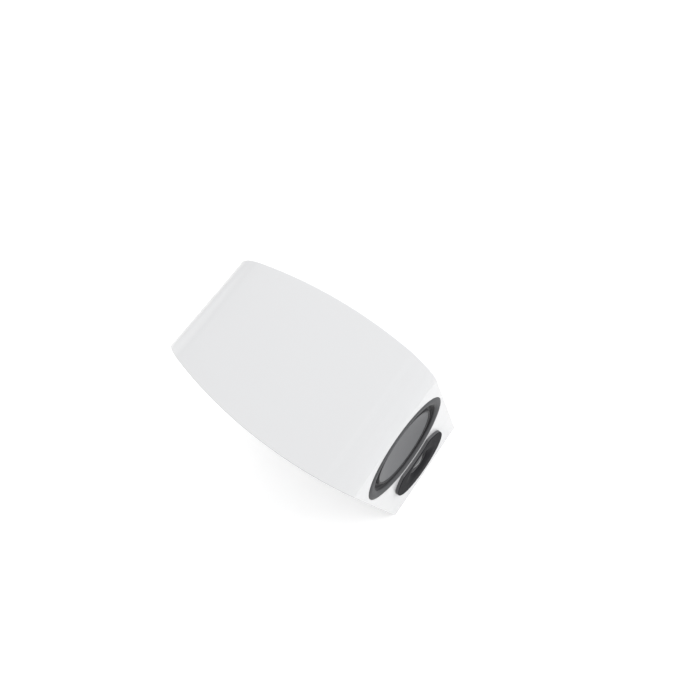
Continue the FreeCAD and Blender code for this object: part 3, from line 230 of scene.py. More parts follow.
def behind_plate(radius, gap):
    """A disc round the tweeter's axis that stays a gap inside the faceplate's scallop, as points (x, z)."""
    ring = []
    for step in range(ROUND_STEPS):
        angle = 2 * math.pi * step / ROUND_STEPS
        reach = min(radius, plate_radius(angle) - gap)
        ring.append((TWEETER[0] + reach * math.cos(angle), TWEETER[1] + reach * math.sin(angle)))
    return ring


def sheet(line, wall):
    """A closed outline that follows a line and comes back a wall's thickness to its left."""
    back = []
    for here, point in enumerate(line):
        before = line[max(here - 1, 0)]
        after = line[min(here + 1, len(line) - 1)]
        way = Vector((after[0] - before[0], after[1] - before[1])).normalized()
        back.append((max(point[0] - way.y * wall, 0.0), point[1] + way.x * wall))
    return line + back[::-1]


# ---------------------------------------------------------------- meshes

def mesh_object(name, points, faces, normals=None):
    """An object from points in millimetres."""
    mesh = bpy.data.meshes.new(name)
    mesh.from_pydata([Vector(point) * MM for point in points], [], faces)
    mesh.validate()
    mesh.shade_smooth()
    if normals:
        mesh.normals_split_custom_set(normals)
    obj = bpy.data.objects.new(name, mesh)
    bpy.context.scene.collection.objects.link(obj)
    return obj


def outward(obj):
    """Turn all faces outwards, keep corners crisp and let large faces lead the shading."""
    work = bmesh.new()
    work.from_mesh(obj.data)
    bmesh.ops.recalc_face_normals(work, faces=work.faces)
    for face in work.faces:
        face.smooth = True
    for edge in work.edges:
        edge.smooth = edge.calc_face_angle(math.pi) < math.radians(SHARP_ANGLE)
    work.to_mesh(obj.data)
    work.free()
    weighted = obj.modifiers.new("weighted", "WEIGHTED_NORMAL")
    weighted.keep_sharp = True
    weighted.weight = 100
    return obj


def signed_area(outline):
    """The area inside an outline, positive if it runs anticlockwise."""
    return sum(a[0] * b[1] - b[0] * a[1] for a, b in zip(outline, outline[1:] + outline[:1])) / 2


def outline_normals(outline):
    """For each edge of the outline, the normals at its start and end, shared where the outline is smooth."""
    edges = []
    for a, b in zip(outline, outline[1:] + outline[:1]):
        edges.append(Vector((b[1] - a[1], a[0] - b[0])).normalized())
    limit = math.cos(math.radians(SHARP_ANGLE))
    normals = []
    for here, normal in enumerate(edges):
        before = edges[here - 1]
        after = edges[(here + 1) % len(edges)]
        start = (normal + before).normalized() if normal.dot(before) > limit else normal
        end = (normal + after).normalized() if normal.dot(after) > limit else normal
        normals.append((start, end))
    return normals


def stand(section, axis, base, angle):
    """A section of (radius, depth) stood at an angle about an axis along Y at (x, z)."""
    return [(axis[0] + radius * math.cos(angle), base + depth, axis[1] + radius * math.sin(angle))
            for radius, depth in section]


def turned(name, outline, axis, base, first=0.0, last=360.0, steps=ROUND_STEPS):
    """A solid turned about an axis along Y at (x, z), from a closed outline of (radius, depth)."""
    outline = [p for p, q in zip(outline, outline[1:] + outline[:1]) if math.dist(p, q) > 1e-6]
    if signed_area(outline) < 0:
        outline = outline[::-1]
    whole = last - first > 359.9
    angles = [math.radians(first + (last - first) * step / steps) for step in range(steps + (not whole))]
    points = []
    index = []
    for radius, depth in outline:
        spots = angles if radius > 1e-6 else angles[:1]
        index.append([len(points) + (turn if len(spots) > 1 else 0) for turn in range(len(angles))])
        for angle in spots:
            points += stand([(radius, depth)], axis, base, angle)
    sides = outline_normals(outline)
    faces = []
    normals = []
    for turn in range(steps):
        following = (turn + 1) % len(angles)
        for here in range(len(outline)):
            there = (here + 1) % len(outline)
            corners = [(here, turn, 0), (there, turn, 1), (there, following, 1), (here, following, 0)]
            used = []
            for spot, step, side in corners:
                if index[spot][step] not in [entry[0] for entry in used]:
                    used.append((index[spot][step], sides[here][side], angles[step]))
            if len(used) < 3:
                continue
            faces.append([entry[0] for entry in used])
            for _, normal, angle in used:
                normals.append((normal.x * math.cos(angle), normal.y, normal.x * math.sin(angle)))
    if not whole:
        for turn, sign in ((0, -1), (len(angles) - 1, 1)):
            cap = [index[here][turn] for here in range(len(outline))]
            faces.append(cap if sign > 0 else cap[::-1])
            side = (-math.sin(angles[turn]) * sign, 0.0, math.cos(angles[turn]) * sign)
            normals += [side] * len(cap)
    return mesh_object(name, points, faces, normals)


def bands(count, rings, closed=False):
    """Quads between neighbouring rings of points, and from the last ring to the first if closed."""
    faces = []
    for here in range(rings if closed else rings - 1):
        low = here * count
        high = (here + 1) % rings * count
        for step in range(count):
            after = (step + 1) % count
            faces.append((low + step, low + after, high + after, high + step))
    return faces


def swept(name, sections):
    """A ring-shaped solid through closed sections that all have the same number of points."""
    count = len(sections[0])
    points = [point for section in sections for point in section]
    return outward(mesh_object(name, points, bands(count, len(sections), closed=True)))


def stacked(name, rings):
    """A closed solid through a stack of rings, its two ends capped."""
    count = len(rings[0])
    points = [point for ring in rings for point in ring]
    faces = bands(count, len(rings))
    faces.append(tuple(range(count)))
    faces.append(tuple(range((len(rings) - 1) * count, len(rings) * count)))
    return outward(mesh_object(name, points, faces))


def carve(obj, tools):
    """Cut every tool out of the object and drop the tools."""
    obj.modifiers.clear()
    for tool in tools:
        tool.modifiers.clear()
        cutting = obj.modifiers.new("cut", "BOOLEAN")
        cutting.operation = "DIFFERENCE"
        cutting.solver = "EXACT"
        cutting.object = tool
    bpy.context.view_layer.update()
    carved = bpy.data.meshes.new_from_object(obj.evaluated_get(bpy.context.evaluated_depsgraph_get()))
    obj.modifiers.clear()
    obj.data = carved
    for tool in tools:
        bpy.data.objects.remove(tool)
    return outward(obj)


def pillar(ring, start, end, name="cutter"):
    """A solid along Y over a closed outline of (x, z), mostly used as a cutting tool."""
    return stacked(name, [[(x, y, z) for x, z in ring] for y in (start, end)])


def cylinder(axis, radius, start, end):
    """A round cutting tool along Y."""
    return pillar(arc(axis, radius, 0, 360, ROUND_STEPS)[:-1], start, end)


def block(size, middle, start, end):
    """A box-shaped cutting tool about (0, middle), between two places along Y."""
    half_x, half_z = size[0] / 2, size[1] / 2
    return pillar([(-half_x, middle - half_z), (half_x, middle - half_z),
                   (half_x, middle + half_z), (-half_x, middle + half_z)], start, end)


# ---------------------------------------------------------------- cabinet

def half_width(y, inset=0.0):
    """Half the cabinet's width at a place between baffle and rear, moved in by an inset."""
    ends = [(HALF_FRONT - inset, FRONT), (HALF_MIDDLE - inset, 0.0), (HALF_REAR - inset, REAR)]
    centre, radius = circle_through(*ends)
    return centre[0] + math.sqrt(radius ** 2 - (y - centre[1]) ** 2)


def roll_places(roll, edge, direction, steps):
    """Places along Y that step evenly round a roll beginning at an end face."""
    places = []
    for step in range(steps + 1):
        away = roll * (1 - math.cos(math.radians(90 * step / steps)))
        places.append(edge + direction * away)
    return places


def column_places(inset):
    """Where the cabinet's columns stand: dense in the rolls and even between them."""
    low, high = FRONT + inset, REAR - inset
    even_steps = 36
    least_distance = 0.04
    places = []
    for rolls, steps in ((TOP_ROLLS, 22), (BOTTOM_ROLLS, 8)):
        places += roll_places(rolls[0] - inset, low, 1, steps)
        places += roll_places(rolls[1] - inset, high, -1, steps)
    places += [low + (high - low) * step / even_steps for step in range(1, even_steps)]
    kept = []
    for place in sorted(places):
        if not kept or place - kept[-1] > least_distance:
            kept.append(place)
    kept[-1] = high
    return kept


def edge_point(y, inset, rolls, top):
    """Height of the inset outline at y, on top or below, and the outward direction there."""
    front, rear = rolls[0] - inset, rolls[1] - inset
    out = 1.0 if top else -1.0
    level = HEIGHT - inset if top else inset
    for roll, centre, side in ((front, FRONT + rolls[0], -1), (rear, REAR - rolls[1], 1)):
        away = (y - centre) * side
        if away > 0:
            away = min(away, roll)
            drop = roll - math.sqrt(max(roll ** 2 - away ** 2, 0.0))
            return level - out * drop, (side * away / roll, out * math.sqrt(max(1 - (away / roll) ** 2, 0.0)))
    return level, (0.0, out)


def side_rings(inset, steps):
    """Rings of one side edge, from the wrap to the side wall, each a closed loop of (x, y, z)."""
    places = column_places(inset)
    loop = [(y, *edge_point(y, inset, TOP_ROLLS, True)) for y in places]
    loop += [(y, *edge_point(y, inset, BOTTOM_ROLLS, False)) for y in reversed(places)]
    rings = []
    for step in range(steps + 1):
        angle = math.radians(90 * step / steps)
        ring = []
        for y, z, normal in loop:
            along = y + normal[0] * inset * math.cos(angle)
            up = z + normal[1] * inset * math.cos(angle)
            ring.append((half_width(along) - inset * (1 - math.sin(angle)), along, up))
        rings.append(ring)
    return rings


def cabinet_block():
    """The cabinet's outside as one closed solid."""
    right = side_rings(EDGE_ROUNDING, 4)
    left = [[(-x, y, z) for x, y, z in ring] for ring in right]
    rings = left[::-1] + right
    count = len(rings[0])
    points = [point for ring in rings for point in ring]
    faces = bands(count, len(rings))
    columns = count // 2
    for start in (0, (len(rings) - 1) * count):
        for step in range(columns - 1):
            opposite = count - 1 - step
            faces.append((start + step, start + step + 1, start + opposite - 1, start + opposite))
    return outward(mesh_object("cabinet_shell", points, faces))


def cabinet_room():
    """The space inside the panels, as a cutting tool."""
    low, high = FRONT + BAFFLE, REAR - PANEL
    steps = 40
    places = [low + (high - low) * step / steps for step in range(steps + 1)]
    plan = [(half_width(y, SIDE_WALL), y) for y in places]
    plan += [(-x, y) for x, y in plan[::-1]]
    return stacked("cutter", [[(x, y, z) for x, y in plan] for z in (PANEL, HEIGHT - PANEL)])


def make_cabinet():
    """The lacquered cabinet in one piece, with its room, rebates and openings cut out."""
    tweeter_rebate = behind_plate(FLANGE_RADIUS + REBATE_GAP, PLATE_OVERLAP)
    terminal_rebate = [size + 2 * TERMINAL_GAP for size in TERMINAL_SIZE]
    shell = cabinet_block()
    carve(shell, [
        cabinet_room(),
        cylinder(WOOFER, WOOFER_REBATE_RADIUS, FRONT - OVERCUT, FRONT + WOOFER_REBATE_DEPTH),
        cylinder(WOOFER, WOOFER_HOLE, FRONT - OVERCUT, FRONT + BAFFLE + OVERCUT),
        pillar(tweeter_rebate, FRONT - OVERCUT, FRONT + GASKET_BACK),
        cylinder(TWEETER, TWEETER_HOLE, FRONT - OVERCUT, FRONT + BAFFLE + OVERCUT),
        cylinder(PORT, PORT_HOLE, REAR - PANEL - OVERCUT, REAR + OVERCUT),
        block(terminal_rebate, TERMINAL_MIDDLE, REAR - TERMINAL_REBATE, REAR + OVERCUT),
        block(TERMINAL_OPENING, TERMINAL_MIDDLE, REAR - PANEL - OVERCUT, REAR + OVERCUT),
    ])
    shown(shell, "cabinet", "white_lacquer", "front_baffle", "rear_panel", "top_panel", "bottom_panel",
          "left_side_wall", "right_side_wall")


# ---------------------------------------------------------------- drivers

def shown(obj, body, slot, *nodes):
    """Put a rigid piece on its body, in its finish, in place of its CAD nodes."""
    obj.data.materials.clear()
    obj.data.materials.append(finish(slot))
    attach(obj, body)
    if nodes:
        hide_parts(*nodes)


def flexing(name, outline, axis, slot, count=12):
    """A flexible ring made of equal sectors, each a turned piece from its outer radius to its inner one."""
    width = 360.0 / count
    steps = ROUND_STEPS // count
    for sector in range(count):
        middle = width * sector
        piece = turned("%s_%02d" % (name, sector + 1), outline, axis, FRONT,
                       middle - width / 2, middle + width / 2, steps)
        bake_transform(piece)
        piece.data.materials.append(finish(slot))
        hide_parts(name)


def make_trim_ring():
    """A crowned ring, hollow behind where it clears the screw heads."""
    outer_edge = 0.2
    inner_edge = 1.0
    hollow_radius = 60.9
    hollow_depth = 1.3
    wall = 1.0
    back = 2.5
    middle = ((TRIM_OUTER + TRIM_INNER) / 2, TRIM_TOP)
    outline = arc_through((TRIM_OUTER, outer_edge), middle, (TRIM_INNER, inner_edge), 28)
    outline += [(TRIM_INNER, SURROUND_LAND), (hollow_radius, SURROUND_LAND), (hollow_radius, hollow_depth),
                (TRIM_OUTER - wall, hollow_depth), (TRIM_OUTER - wall, back), (TRIM_OUTER, back)]
    shown(turned("trim_ring", outline, WOOFER, FRONT), "cabinet", "trim_grey", "woofer_trim_ring")


def make_woofer_surround():
    """A roll that dips inwards, with three fine ridges round it, its inner lip glued onto the cone."""
    ridges = 3
    ridge_height = 0.45
    thickness = 0.7
    shoulder = 0.5
    lip_start = (CONE_RADIUS + 0.2, SURROUND_LAND - 0.1)
    lip_end = (CONE_RADIUS - 1.0, SURROUND_LAND + 0.05)
    line = [(SURROUND_RADIUS, SURROUND_LAND), (ROLL_MIDDLE + ROLL_RADIUS + shoulder, SURROUND_LAND)]
    steps = 48
    for step in range(steps + 1):
        angle = math.pi * step / steps
        ridge = ridge_height * math.sin(angle) * math.cos(2 * ridges * angle)
        radius = ROLL_RADIUS + ridge
        line.append((ROLL_MIDDLE + radius * math.cos(angle), SURROUND_LAND + radius * math.sin(angle)))
    line += [lip_start, lip_end]
    flexing("woofer_surround", sheet(line, -thickness), WOOFER,
            "surround_rubber")


def dish(radius, sagitta, edge, steps):
    """A spherical dish from its edge to its middle; a negative sagitta makes a dome."""
    curve = (radius ** 2 + sagitta ** 2) / (2 * abs(sagitta))
    sign = math.copysign(1.0, sagitta)
    line = []
    for step in range(steps + 1):
        reach = radius * (1 - step / steps)
        rise = math.sqrt(curve ** 2 - reach ** 2) - (curve - abs(sagitta))
        line.append((reach, edge + sign * rise))
    return line


def make_cone():
    """One smooth concave dish."""
    front = dish(CONE_RADIUS, CONE_DISH, CONE_EDGE, 40)
    outline = front + [(radius, depth + CONE_THICKNESS) for radius, depth in front[::-1]]
    shown(turned("cone", outline, WOOFER, FRONT), "woofer_moving", "cone_grey", "woofer_cone")


def make_spider():
    """The corrugated cloth that centres the voice coil."""
    rim = 42.0
    outer = 38.0
    inner = 14.0
    waves = 4
    height = 1.2
    thickness = 0.6
    steps = 12 * waves
    line = [(rim, SPIDER_FRONT)]
    for step in range(steps + 1):
        radius = outer - (outer - inner) * step / steps
        line.append((radius, SPIDER_FRONT - height * math.sin(math.pi * waves * step / steps)))
    line.append((COIL_RADIUS, SPIDER_FRONT))
    flexing("woofer_spider", sheet(line, -thickness), WOOFER,
            "spider_cloth")


def scallop_corner():
    """The angle from the vertical at which disc and scallop meet."""
    distance = WOOFER[1] - TWEETER[1]
    cosine = (PLATE_RADIUS ** 2 + distance ** 2 - SCALLOP_RADIUS ** 2) / (2 * PLATE_RADIUS * distance)
    return math.acos(cosine)


def guide_line(steps):
    """The flared guide's outline, from the throat to where it runs out into the plate's face."""
    run = GUIDE_RADIUS - THROAT_RADIUS
    drop = THROAT_LIP - PLATE_FACE
    curve = (run ** 2 + drop ** 2) / (2 * drop)
    line = []
    for step in range(steps + 1):
        reach = THROAT_RADIUS + run * step / steps
        line.append((reach, PLATE_FACE + curve - math.sqrt(curve ** 2 - (GUIDE_RADIUS - reach) ** 2)))
    return line


def make_faceplate():
    """A thick disc with a flared guide, rounded at its rim and scalloped towards the woofer."""
    guide = guide_line(24)
    corner = scallop_corner()
    top = math.pi / 2
    scallop_steps = 48
    disc_steps = 168
    angles = [top - corner + 2 * corner * step / scallop_steps for step in range(scallop_steps)]
    angles += [top + corner + 2 * (math.pi - corner) * step / disc_steps for step in range(disc_steps)]
    sections = []
    for angle in angles:
        reach = plate_radius(angle)
        rim = arc((reach - PLATE_EDGE, PLATE_FACE + PLATE_EDGE), PLATE_EDGE, -90, 0, 5)
        section = [(THROAT_RADIUS, 0.0)] + guide + rim + [(reach, 0.0)]
        sections.append(stand(section, TWEETER, FRONT, angle))
    shown(swept("tweeter_plate", sections), "cabinet", "tweeter_plate_black", "tweeter_faceplate")


def tweeter_ring(name, inner, front, back, holes, slot):
    """A ring behind the faceplate, cut back at the scallop like the plate, with holes for the four screws."""
    tools = [cylinder(TWEETER, inner, FRONT + front - SMALL_OVERCUT, FRONT + back + SMALL_OVERCUT)]
    reach = TWEETER_SCREWS * math.sqrt(0.5)
    for x in (TWEETER[0] - reach, TWEETER[0] + reach):
        for z in (TWEETER[1] - reach, TWEETER[1] + reach):
            for radius, depth in holes:
                tools.append(cylinder((x, z), radius, FRONT + front - SMALL_OVERCUT, FRONT + depth))
    disc = pillar(behind_plate(FLANGE_RADIUS, PLATE_OVERLAP + REBATE_GAP), FRONT + front, FRONT + back, name)
    shown(carve(disc, tools), "cabinet", slot, name)


def make_tweeter_flange():
    """The flange and its gasket, with counterbores for the screw heads in the flange."""
    through = (SCREW_SHANK_HOLE, GASKET_BACK + SMALL_OVERCUT)
    counterbore = (SCREW_HEAD_HOLE, SCREW_HEAD_DEPTH)
    tweeter_ring("tweeter_flange", THROAT_RADIUS, 0.0, FLANGE_BACK, [through, counterbore],
                 "tweeter_plate_black")
    tweeter_ring("tweeter_gasket", TWEETER_HOLE + HOLE_GAP, FLANGE_BACK, GASKET_BACK, [through],
                 "gasket_foam")


def make_dome():
    """The thin dome that the tweeter's coil moves."""
    front = dish(DOME_RADIUS, -DOME_RISE, DOME_BASE, 28)
    outline = front + [(radius, depth + DOME_THICKNESS) for radius, depth in front[::-1]]
    shown(turned("dome", outline, TWEETER, FRONT, steps=SMALL_ROUND_STEPS), "tweeter_moving", "dome_cloth",
          "tweeter_dome")


def make_tweeter_surround():
    """A small half roll between the flange and the dome's edge."""
    rim = 16.0
    middle = 13.75
    radius = 0.85
    land = 2.7
    thickness = 0.3
    shoulder = 0.1
    lip = (DOME_RADIUS - 0.25, DOME_BASE - 0.05)
    line = [(rim, land), (middle + radius + shoulder, land)]
    line += arc((middle, land), radius, 0, -180, 14) + [lip]
    flexing("tweeter_surround", sheet(line, -thickness), TWEETER,
            "dome_cloth", count=8)


# ---------------------------------------------------------------- port and terminals

def make_port():
    """Flared mouth, tube and inner flare in one piece."""
    lip = PORT_BORE + PORT_FLARE
    throat = PORT_PROUD - PORT_FLARE
    shell = PORT_FLARE - PORT_WALL
    seat = PORT_HOLE - PORT_PROUD
    widening = PORT_FLARE_RADIUS - PORT_BORE - PORT_WALL
    length = PORT_END - PORT_FLARE_END
    curve = (widening ** 2 + length ** 2) / (2 * widening)
    sweep = math.degrees(math.asin(length / curve))
    inner = arc((lip, throat), PORT_FLARE, 90, 180, 24) + [(PORT_BORE, PORT_END)]
    inner += arc((PORT_BORE + curve, PORT_END), curve, 180, 180 + sweep, 14)[1:]
    outer = arc((PORT_BORE + PORT_WALL + curve, PORT_END), curve, 180 + sweep, 180, 14)
    start = math.degrees(math.acos((seat - lip) / shell))
    outer += arc((lip, throat), shell, 180, start, 20)
    chamfer = 0.2
    rim = [(seat, 0.0), (PORT_RIM, 0.0), (PORT_RIM, PORT_PROUD - chamfer), (PORT_RIM - chamfer, PORT_PROUD)]
    shown(turned("port", inner + outer + rim, PORT, REAR), "cabinet", "port_plastic",
          "port_flange", "port_tube", "port_inner_flare")


def rounded_rectangle(size, corner, steps=6):
    """A rectangle about the origin with rounded corners, as points (x, z)."""
    half_x, half_z = size[0] / 2, size[1] / 2
    return rounded([(-half_x, -half_z, corner), (half_x, -half_z, corner),
                    (half_x, half_z, corner), (-half_x, half_z, corner)], steps)


def make_terminal_plate():
    """The flat plate, its outer edge rounded."""
    rings = [(0.0, -TERMINAL_THICKNESS)]
    for degrees in (0, 30, 60, 90):
        turn = math.radians(degrees)
        rings.append((TERMINAL_ROUNDING * (1 - math.cos(turn)), TERMINAL_ROUNDING * (math.sin(turn) - 1)))
    stack = []
    for inset, depth in rings:
        size = (TERMINAL_SIZE[0] - 2 * inset, TERMINAL_SIZE[1] - 2 * inset)
        stack.append([(x, POST_BASE + depth, TERMINAL_MIDDLE + z)
                      for x, z in rounded_rectangle(size, TERMINAL_CORNER - inset)])
    shown(stacked("terminal_cup", stack), "cabinet", "terminal_black", "terminal_plate")


def make_nut(colour, axis):
    """The nut, with grip grooves round it and chamfered ends."""
    steps_per_groove = 8
    groove_shape = 0.6
    shoulder = NUT_RADIUS - NUT_CHAMFER
    sections = []
    for step in range(NUT_GROOVES * steps_per_groove):
        angle = 2 * math.pi * step / (NUT_GROOVES * steps_per_groove)
        dip = max(0.0, math.cos(NUT_GROOVES * angle)) ** groove_shape * NUT_GROOVE
        reach = NUT_RADIUS - dip
        section = [(NUT_BORE, NUT_START), (shoulder, NUT_START), (reach, NUT_START + NUT_CHAMFER),
                   (reach, NUT_END - NUT_CHAMFER), (shoulder, NUT_END), (NUT_BORE, NUT_END)]
        sections.append(stand(section, axis, POST_BASE, angle))
    shown(swept(colour + "_nut", sections), colour + "_nut", "gold", colour + "_post_nut")


def post_ring(name, corners, axis, body, slot, node):
    """A small turned piece on a post, its corners rounded where they say so."""
    piece = turned(name, rounded(corners), axis, POST_BASE, steps=SMALL_ROUND_STEPS)
    shown(piece, body, slot, node)


def make_post(colour, axis):
    """Collar, nut, colour ring and clear cap of one terminal."""
    collar = [(COLLAR_BORE, 0.0), (COLLAR_RADIUS, 0.0),
              (COLLAR_RADIUS, COLLAR_END, 0.6), (COLLAR_BORE, COLLAR_END)]
    ring = [(CAP_BORE, NUT_END), (RING_RADIUS, NUT_END, 0.3),
            (RING_RADIUS, RING_END, 0.3), (CAP_BORE, RING_END)]
    cap = [(CAP_BORE, RING_END), (CAP_RADIUS, RING_END, 0.4),
           (CAP_RADIUS, CAP_END, 1.3), (CAP_BORE, CAP_END, 0.4)]
    post_ring(colour + "_collar", collar, axis, "cabinet", "terminal_black", colour + "_post_collar")
    make_nut(colour, axis)
    post_ring(colour + "_ring", ring, axis, colour + "_nut_travel", colour + "_plastic",
              colour + "_post_colour_ring")
    post_ring(colour + "_cap", cap, axis, colour + "_nut", "clear_plastic", colour + "_post_clear_cap")


# ---------------------------------------------------------------- finishes

class Nodes:
    """Short ways to write one material's node tree."""

    def __init__(self, name, colour, roughness, metallic=0.0, settings=None):
        self.material = bpy.data.materials.new(name)
        self.material.use_nodes = True
        self.tree = self.material.node_tree
        self.shader = self.tree.nodes["Principled BSDF"]
        self.set(self.shader, "Base Color", (*colour, 1.0))
        self.set(self.shader, "Roughness", roughness)
        self.set(self.shader, "Metallic", metallic)
        for socket, value in (settings or {}).items():
            self.set(self.shader, socket, value)

    def set(self, node, socket, value):
        node.inputs[socket].default_value = value

    def add(self, kind, **settings):
        node = self.tree.nodes.new(kind)
        for name, value in settings.items():
            setattr(node, name, value)
        return node

    def link(self, output, socket):
        self.tree.links.new(output, socket)

    def place(self, about=None, stretch=(1.0, 1.0, 1.0)):
        """Coordinates in the model's frame, measured from a point, and stretched."""
        spot = self.add("ShaderNodeTexCoord").outputs["Object"]
        mapping = self.add("ShaderNodeMapping")
        centre = about or (0.0, 0.0, 0.0)
        self.set(mapping, "Location", [-value * scale for value, scale in zip(centre, stretch)])
        self.set(mapping, "Scale", stretch)
        self.link(spot, mapping.inputs["Vector"])
        return mapping.outputs["Vector"]

    def noise(self, place, scale, detail=3.0, roughness=0.55):
        node = self.add("ShaderNodeTexNoise")
        self.set(node, "Scale", scale)
        self.set(node, "Detail", detail)
        self.set(node, "Roughness", roughness)
        self.link(place, node.inputs["Vector"])
        return node.outputs["Fac"]

    def cells(self, place, scale):
        node = self.add("ShaderNodeTexVoronoi")
        self.set(node, "Scale", scale)
        self.link(place, node.inputs["Vector"])
        return node.outputs["Distance"]

    def rings(self, place, pitch):
        """Even rings about the place's Y axis, one every pitch."""
        split = self.add("ShaderNodeSeparateXYZ")
        self.link(place, split.inputs[0])
        flat = self.add("ShaderNodeCombineXYZ")
        self.link(split.outputs["X"], flat.inputs["X"])
        self.link(split.outputs["Z"], flat.inputs["Z"])
        length = self.add("ShaderNodeVectorMath", operation="LENGTH")
        self.link(flat.outputs[0], length.inputs[0])
        return self.wave(length.outputs["Value"], pitch)

    def wave(self, value, pitch):
        """A smooth wave between 0 and 1 that repeats every pitch."""
        scaled = self.math("MULTIPLY", value, 2 * math.pi / pitch)
        swing = self.math("SINE", scaled)
        return self.spread(swing, 0.0, 1.0, -1.0, 1.0)

    def math(self, operation, first, second=None):
        node = self.add("ShaderNodeMath", operation=operation)
        self.link(first, node.inputs[0])
        if isinstance(second, (int, float)):
            node.inputs[1].default_value = second
        elif second is not None:
            self.link(second, node.inputs[1])
        return node.outputs[0]

    def upright(self):
        """Painted light mask: 1 on walls that stand along Y and 0 on faces that look along it."""
        split = self.add("ShaderNodeSeparateXYZ")
        self.link(self.add("ShaderNodeTexCoord").outputs["Normal"], split.inputs[0])
        return self.spread(self.math("ABSOLUTE", split.outputs["Y"]), 1.0, 0.0, 0.1, 0.4)

    def weave(self, place, pitch):
        """Two crossed sets of threads on the X-Z plane."""
        split = self.add("ShaderNodeSeparateXYZ")
        self.link(place, split.inputs[0])
        across = self.wave(split.outputs["X"], pitch)
        along = self.wave(split.outputs["Z"], pitch)
        return self.math("MAXIMUM", across, along)

    def spread(self, value, low, high, start=0.0, end=1.0):
        node = self.add("ShaderNodeMapRange")
        for socket, number in (("From Min", start), ("From Max", end), ("To Min", low), ("To Max", high)):
            self.set(node, socket, number)
        self.link(value, node.inputs["Value"])
        return node.outputs["Result"]

    def colour(self, value, first, second):
        """The base colour between two colours."""
        node = self.add("ShaderNodeMix", data_type="RGBA")
        node.inputs[6].default_value = (*first, 1.0)
        node.inputs[7].default_value = (*second, 1.0)
        self.link(value, node.inputs["Factor"])
        self.link(node.outputs[2], self.shader.inputs["Base Color"])

    def rough(self, value, low, high):
        self.link(self.spread(value, low, high), self.shader.inputs["Roughness"])

    def bump(self, *layers):
        """Stack height layers, each (value, distance in metres)."""
        below = None
        for value, distance in layers:
            node = self.add("ShaderNodeBump")
            self.set(node, "Strength", 1.0)
            self.set(node, "Distance", distance)
            self.link(value, node.inputs["Height"])
            if below:
                self.link(below, node.inputs["Normal"])
            below = node.outputs["Normal"]
        self.link(below, self.shader.inputs["Normal"])
        return self.material


def about(axis, base):
    """An axis (x, z) in millimetres as a point in metres."""
    return axis[0] * MM, base * MM, axis[1] * MM


def white_lacquer():
    m = Nodes("white_lacquer", (0.592, 0.595, 0.603), 0.2, 0.0,
              {"Specular IOR Level": 0.22, "Coat Weight": 0.06, "Coat Roughness": 0.06})
    place = m.place()
    m.colour(m.noise(place, 7.0), (0.586, 0.589, 0.597), (0.598, 0.601, 0.608))
    m.rough(m.noise(place, 45.0), 0.2, 0.28)
    return m.bump((m.noise(place, 420.0, 2.0), 0.000006))


def trim_grey():
    m = Nodes("trim_grey", (0.074, 0.075, 0.078), 0.45, 0.0, {"Specular IOR Level": 0.03})
    place = m.place(about(WOOFER, FRONT))
    m.colour(m.noise(place, 60.0), (0.069, 0.07, 0.073), (0.081, 0.082, 0.085))
    m.rough(m.noise(place, 300.0), 0.4, 0.5)
    return m.bump((m.rings(place, 0.0005), 0.000004), (m.noise(place, 2500.0), 0.000008))


def surround_rubber():
    m = Nodes("surround_rubber", (0.034, 0.034, 0.036), 0.5, 0.0, {"Specular IOR Level": 0.1})
    place = m.place(about(WOOFER, FRONT))
    m.colour(m.noise(place, 90.0), (0.03, 0.03, 0.032), (0.038, 0.038, 0.04))
    m.rough(m.noise(place, 400.0), 0.42, 0.58)
    return m.bump((m.noise(place, 3200.0), 0.00002))


def cone_grey():
    m = Nodes("cone_grey", (0.142, 0.144, 0.149), 0.45, 0.0, {"Specular IOR Level": 0.05})
    place = m.place(about(WOOFER, FRONT))
    m.colour(m.noise(place, 35.0), (0.137, 0.139, 0.144), (0.149, 0.151, 0.156))
    m.rough(m.noise(place, 500.0), 0.4, 0.5)
    return m.bump((m.rings(place, 0.0009), 0.000003), (m.noise(place, 2600.0), 0.00001))


def tweeter_plate_black():
    m = Nodes("tweeter_plate_black", (0.018, 0.018, 0.02), 0.5, 0.0, {"Specular IOR Level": 0.005})
    place = m.place(about(TWEETER, FRONT))
    # Painted reflected light: walls that stand along Y get a lighter colour than the face, for the white
    # baffle's light on them.
    m.colour(m.upright(), (0.018, 0.018, 0.02), (0.115, 0.115, 0.119))
    m.rough(m.noise(place, 900.0), 0.36, 0.5)
    return m.bump((m.noise(place, 5200.0, 2.0), 0.000012))


def dome_cloth():
    m = Nodes("dome_cloth", (0.03, 0.03, 0.033), 0.55, 0.0, {"Sheen Weight": 0.35, "Sheen Roughness": 0.4})
    place = m.place(about(TWEETER, FRONT))
    threads = m.weave(place, 0.0005)
    m.colour(threads, (0.02, 0.02, 0.022), (0.042, 0.042, 0.046))
    m.rough(m.noise(place, 700.0), 0.45, 0.6)
    return m.bump((threads, 0.00003))


def port_plastic():
    m = Nodes("port_plastic", (0.032, 0.033, 0.036), 0.28)
    place = m.place(about(PORT, REAR))
    m.colour(m.noise(place, 70.0), (0.028, 0.029, 0.032), (0.038, 0.039, 0.042))
    m.rough(m.noise(place, 500.0), 0.24, 0.34)
    return m.bump((m.noise(place, 3000.0), 0.00001))


def terminal_black():
    m = Nodes("terminal_black", (0.016, 0.018, 0.024), 0.3, 0.0, {"Specular IOR Level": 0.3})
    place = m.place(about((0.0, TERMINAL_MIDDLE), REAR))
    m.colour(m.noise(place, 60.0), (0.014, 0.016, 0.022), (0.02, 0.022, 0.028))
    m.rough(m.noise(place, 250.0), 0.25, 0.36)
    return m.bump((m.noise(place, 1500.0), 0.000006))


def gold():
    m = Nodes("gold", (0.86, 0.6, 0.26), 0.2, 1.0)
    place = m.place()
    m.colour(m.noise(place, 300.0), (0.83, 0.57, 0.23), (0.9, 0.65, 0.32))
    m.rough(m.noise(place, 900.0), 0.16, 0.3)
    return m.bump((m.noise(place, 4000.0), 0.000006))


